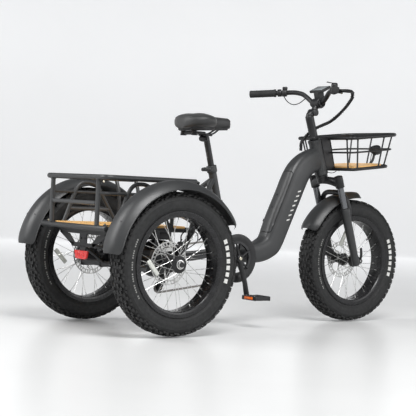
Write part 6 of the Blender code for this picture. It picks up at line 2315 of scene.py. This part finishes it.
def derailleur_and_guides():
    lower, upper = Vector((-0.520, CHAINLINE, 0.172)), Vector((-0.497, CHAINLINE, 0.2155))
    for name, centre, body in (("upper", upper, "upper_pulley"), ("lower", lower, "lower_pulley")):
        wheel = Shape()
        toothed_ring(wheel, centre, 0.0, 0.0142, 11, 0.0032, 0.0085, 0.0026, PLASTIC)
        wheel.lathe(
            [
                (0.0034, 0.0032), (0.0088, 0.0032), (0.0092, 0.0020), (0.0092, -0.0020),
                (0.0088, -0.0032), (0.0034, -0.0032)
            ],
            centre, Y_AXIS, METAL, 24
        )
        wheel.build(f"guide_wheel_{name}", body, f"jockey_{name}", "black_plastic")
    y = CHAINLINE - 0.0120
    shape = Shape()
    hanger = [
        (-0.470, -0.0935, 0.274), (-0.492, -0.0935, 0.272), (-0.506, -0.0935, 0.232),
        (-0.490, -0.0935, 0.226)
    ]
    shape.plate(rounded(hanger, 0.004, 3, closed=True), Y_AXIS, 0.0016, METAL)
    shape.rod((-0.497, -0.0945, 0.233), (-0.497, y + 0.0020, 0.228), 0.0102, METAL, 28, chamfer=0.0012)
    body = [(-0.497, y - 0.004, 0.236), (-0.518, y - 0.006, 0.222), (-0.530, y - 0.006, 0.206)]
    shape.tube(rounded(body, 0.012, 5), 0.0072, METAL, 16, flat=1.2, round_end=0.003)
    cage = []
    for centre, turns in ((upper, (-10, 190)), (lower, (170, 370))):
        for k in range(9):
            angle = radians(turns[0] + (turns[1] - turns[0]) * k / 8)
            cage.append(Vector((centre.x + 0.0110 * cos(angle), y, centre.z + 0.0110 * sin(angle))))
    shape.plate(cage, Y_AXIS, 0.0026, METAL)
    for pin in (upper, lower):
        shape.rod(pin + Vector((0, -0.0140, 0)), pin + Vector((0, 0.0050, 0)), 0.0028, SPOKE, 16)
        shape.bolt(pin + Vector((0, -0.0140, 0)), -Y_AXIS, 0.0045, BOLT)
    hose = [
        Vector((-0.500, y - 0.004, 0.244)), Vector((-0.499, -0.106, 0.290)),
        Vector((-0.470, -0.112, 0.342))
    ]
    hose += [
        Vector((-0.430, -0.112, 0.374)), Vector((-0.395, -0.110, 0.408)),
        Vector((-0.361, -0.106, 0.404))
    ]
    hose += [
        Vector((-0.357, -0.104, 0.372)), Vector((-0.385, -0.102, 0.350)),
        Vector((-0.430, -0.098, 0.322)), Vector((-0.440, -0.096, 0.306))
    ]
    shape.tube(flowing(hose, 8), 0.0022, RUBBER, 8)
    shape.build("derailleur_unit", "frame", "derailleur", "black_metal", bevel=0.0005)


derailleur_and_guides()


def axle_and_guards():
    axle = Shape()
    beam = [
        (0.0098, -0.262), (0.0188, -0.262), (0.0200, -0.2606), (0.0200, -0.0540), (0.0230, -0.0520),
        (0.0400, -0.0516), (0.0440, -0.0490), (0.0545, -0.0350), (0.0550, -0.0335)
    ]
    beam += [
        (0.0550, -0.0070), (0.0590, -0.0060), (0.0594, -0.0045), (0.0594, 0.0045), (0.0590, 0.0060),
        (0.0550, 0.0070), (0.0550, 0.0335), (0.0545, 0.0350), (0.0440, 0.0490), (0.0400, 0.0516),
        (0.0230, 0.0520), (0.0200, 0.0540), (0.0200, 0.2606), (0.0188, 0.262), (0.0098, 0.262)
    ]
    axle.lathe(beam, REAR_AXLE, Y_AXIS, METAL, 48)
    for i in range(6):
        angle = 2 * pi * (i + 0.5) / 6
        axle.bolt(
            REAR_AXLE + Vector((cos(angle) * 0.0490, -0.0430, sin(angle) * 0.0490)), -Y_AXIS, 0.0035
        )
    axle.build("axle_beam", "frame", "axle_housing", "black_metal")

    guard = Shape()
    a, b = (REAR_AXLE.x, REAR_AXLE.z), (MOTOR.x, MOTOR.z)
    heading = atan2(b[1] - a[1], b[0] - a[0])
    for grow, y, thick in ((0.0, 0.0700, 0.026), (-0.008, 0.0835, 0.003)):
        outline = []
        for (cx, cz), radius, start in (
            (a, 0.046 + grow, heading + pi / 2), (b, 0.034 + grow, heading - pi / 2)
        ):
            for k in range(17):
                angle = start + pi * k / 16
                outline.append((cx + radius * cos(angle), y, cz + radius * sin(angle)))
        guard.plate(outline, Y_AXIS, thick, PLASTIC)
    for x, z in ((-0.560, 0.316), (-0.560, 0.262), (-0.636, 0.250)):
        guard.bolt(Vector((x, 0.0852, z)), Y_AXIS, 0.0036)
    guard.build("second_drive_guard", "frame", "drive_case", "black_plastic", bevel=0.0016)

    box = Shape()
    box.block(Vector((-0.535, 0, 0.3910)), (0.160, 0.110, 0.034), PLASTIC, 0.006, segments=3)
    for k in range(9):
        box.block(Vector((-0.595 + 0.015 * k, 0, 0.3735)), (0.004, 0.094, 0.003), PLASTIC, 0.0008)
    for sx in (-1, 1):
        for sy in (-1, 1):
            box.bolt(Vector((-0.535 + sx * 0.068, sy * 0.044, 0.3738)), -Z_AXIS, 0.0032)
    for k in range(3):
        box.tube(
            flowing(
                [
                    (-0.456, -0.020 + 0.020 * k, 0.390), (-0.440, -0.020 + 0.018 * k, 0.386),
                    (-0.425, -0.012 + 0.010 * k, 0.372), (-0.408, -0.004 + 0.004 * k, 0.352)
                ],
                6
            ),
            0.0026, RUBBER, 8
        )
    box.build("controller_case", "frame", "controller_box", "black_plastic")


axle_and_guards()


def dressed_calipers():
    for name in ("caliper_rear_left", "caliper_rear_right", "caliper_front"):
        dress(name, METAL, 0.0014)
    extras = Shape()
    for side in (-1, 1):
        y = side * (HALF_TRACK - 0.039)
        direction = Vector((0.68, 0, 0.73)).normalized()
        middle = REAR_AXLE + direction * 0.082 + y * Y_AXIS
        for lift in (-0.012, 0.012):
            sideways = direction.cross(Y_AXIS)
            extras.bolt(middle + sideways * lift - side * 0.0216 * Y_AXIS, -side * Y_AXIS, 0.0044)
        arm = middle - side * 0.0210 * Y_AXIS
        extras.tube(
            [arm, arm + Vector((0.012, 0, 0.022)), arm + Vector((0.018, 0, 0.036))],
            [0.0060, 0.0046, 0.0040], METAL, 12, flat=0.6, round_end=0.002
        )
    extras.build("rear_caliper_arms", "frame", slot="black_metal")
    front = Shape()
    direction = (STEER_UP * 0.060 - STEER_AHEAD * 0.066).normalized()
    middle = FRONT_AXLE + direction * 0.087 + 0.0490 * Y_AXIS
    for lift in (-0.012, 0.012):
        front.bolt(middle + direction.cross(Y_AXIS) * lift + 0.0160 * Y_AXIS, Y_AXIS, 0.0040)
    arm = middle + 0.0170 * Y_AXIS
    front.tube(
        [arm, arm + STEER_UP * 0.022, arm + STEER_UP * 0.036 - STEER_AHEAD * 0.004],
        [0.0058, 0.0046, 0.0040], METAL, 12, flat=0.6, round_end=0.002
    )
    front.build("front_caliper_arm", "fork_lower", slot="black_metal")


dressed_calipers()


# Floor, backdrop, light and camera


FLOOR_RADIUS = 7.6
FLOOR_CURVE = 2.4
WALL_TOP = 3.8


def stage():
    """A round pale floor that curves up into a low wall, so that every camera stands inside it."""
    floor_shape = Shape()
    profile = [(0.0, 0.0)]
    for k in range(13):
        angle = pi / 2 * k / 12
        profile.append(
            (FLOOR_RADIUS + FLOOR_CURVE * sin(angle), FLOOR_CURVE - FLOOR_CURVE * cos(angle))
        )
    profile.append((FLOOR_RADIUS + FLOOR_CURVE, WALL_TOP))
    look = Look("studio_floor", (0.60, 0.603, 0.60), 0.42)
    look.tint(1.2, 0.02)
    parts = look.add("ShaderNodeSeparateXYZ")
    look.link(look.place, parts.inputs[0])
    look.link(look.spread(parts.outputs["Z"], 0.30, 0.85, 0.0, 0.04), look.shader.inputs["Roughness"])
    reach = look.add("ShaderNodeVectorMath")
    reach.operation = "LENGTH"
    look.link(look.place, reach.inputs[0])
    look.link(
        look.spread(reach.outputs["Value"], 0.05, 0.50, 1.8, 7.4),
        look.shader.inputs["Emission Strength"]
    )
    look.fixed(Emission_Color=(0.97, 0.98, 1.0, 1), Specular_IOR_Level=0.25)
    floor_shape.lathe(profile, Vector((0, 0, 0)), Z_AXIS, look.material, 96, False)
    floor = floor_shape.build("studio_floor", None, sharp=60)

    bpy.context.scene.view_settings.view_transform = "Standard"
    world = bpy.data.worlds.new("studio")
    bpy.context.scene.world = world
    world.use_nodes = True
    world.node_tree.nodes["Background"].inputs["Color"].default_value = (0.97, 0.98, 1.0, 1)
    world.node_tree.nodes["Background"].inputs["Strength"].default_value = 0.17

    def softbox(name, place, target, size, power, tint=(1, 1, 1)):
        data = bpy.data.lights.new(name, "AREA")
        data.shape = "RECTANGLE"
        data.size, data.size_y = size
        data.energy = power
        data.color = tint
        lamp = bpy.data.objects.new(name, data)
        lamp.location = place
        lamp.rotation_euler = (Vector(target) - Vector(place)).to_track_quat("-Z", "Y").to_euler()
        bpy.context.scene.collection.objects.link(lamp)

    softbox("key", (-1.2, -2.6, 4.2), (0, 0, 0.4), (2.6, 2.0), 240)
    softbox("fill", (-3.6, 1.4, 3.0), (0, 0, 0.5), (2.6, 2.6), 150)
    softbox("rim", (2.4, -3.6, 1.8), (0.2, 0, 0.5), (2.0, 2.0), 40)

    data = bpy.data.cameras.new("camera")
    data.lens = 111.4
    data.sensor_width = 36.0
    data.clip_end = 60
    camera = bpy.data.objects.new("camera", data)
    right = Vector((0.78959, -0.61178, 0.04759))
    up = Vector((-0.02996, 0.03904, 0.99879))
    forward = Vector((0.61290, 0.79006, -0.01250))
    matrix = Matrix((right, up, -forward)).transposed().to_4x4()
    matrix.translation = Vector((-3.6549, -4.44257, 0.58275))
    camera.matrix_world = matrix
    bpy.context.scene.collection.objects.link(camera)
    bpy.context.scene.camera = camera


stage()
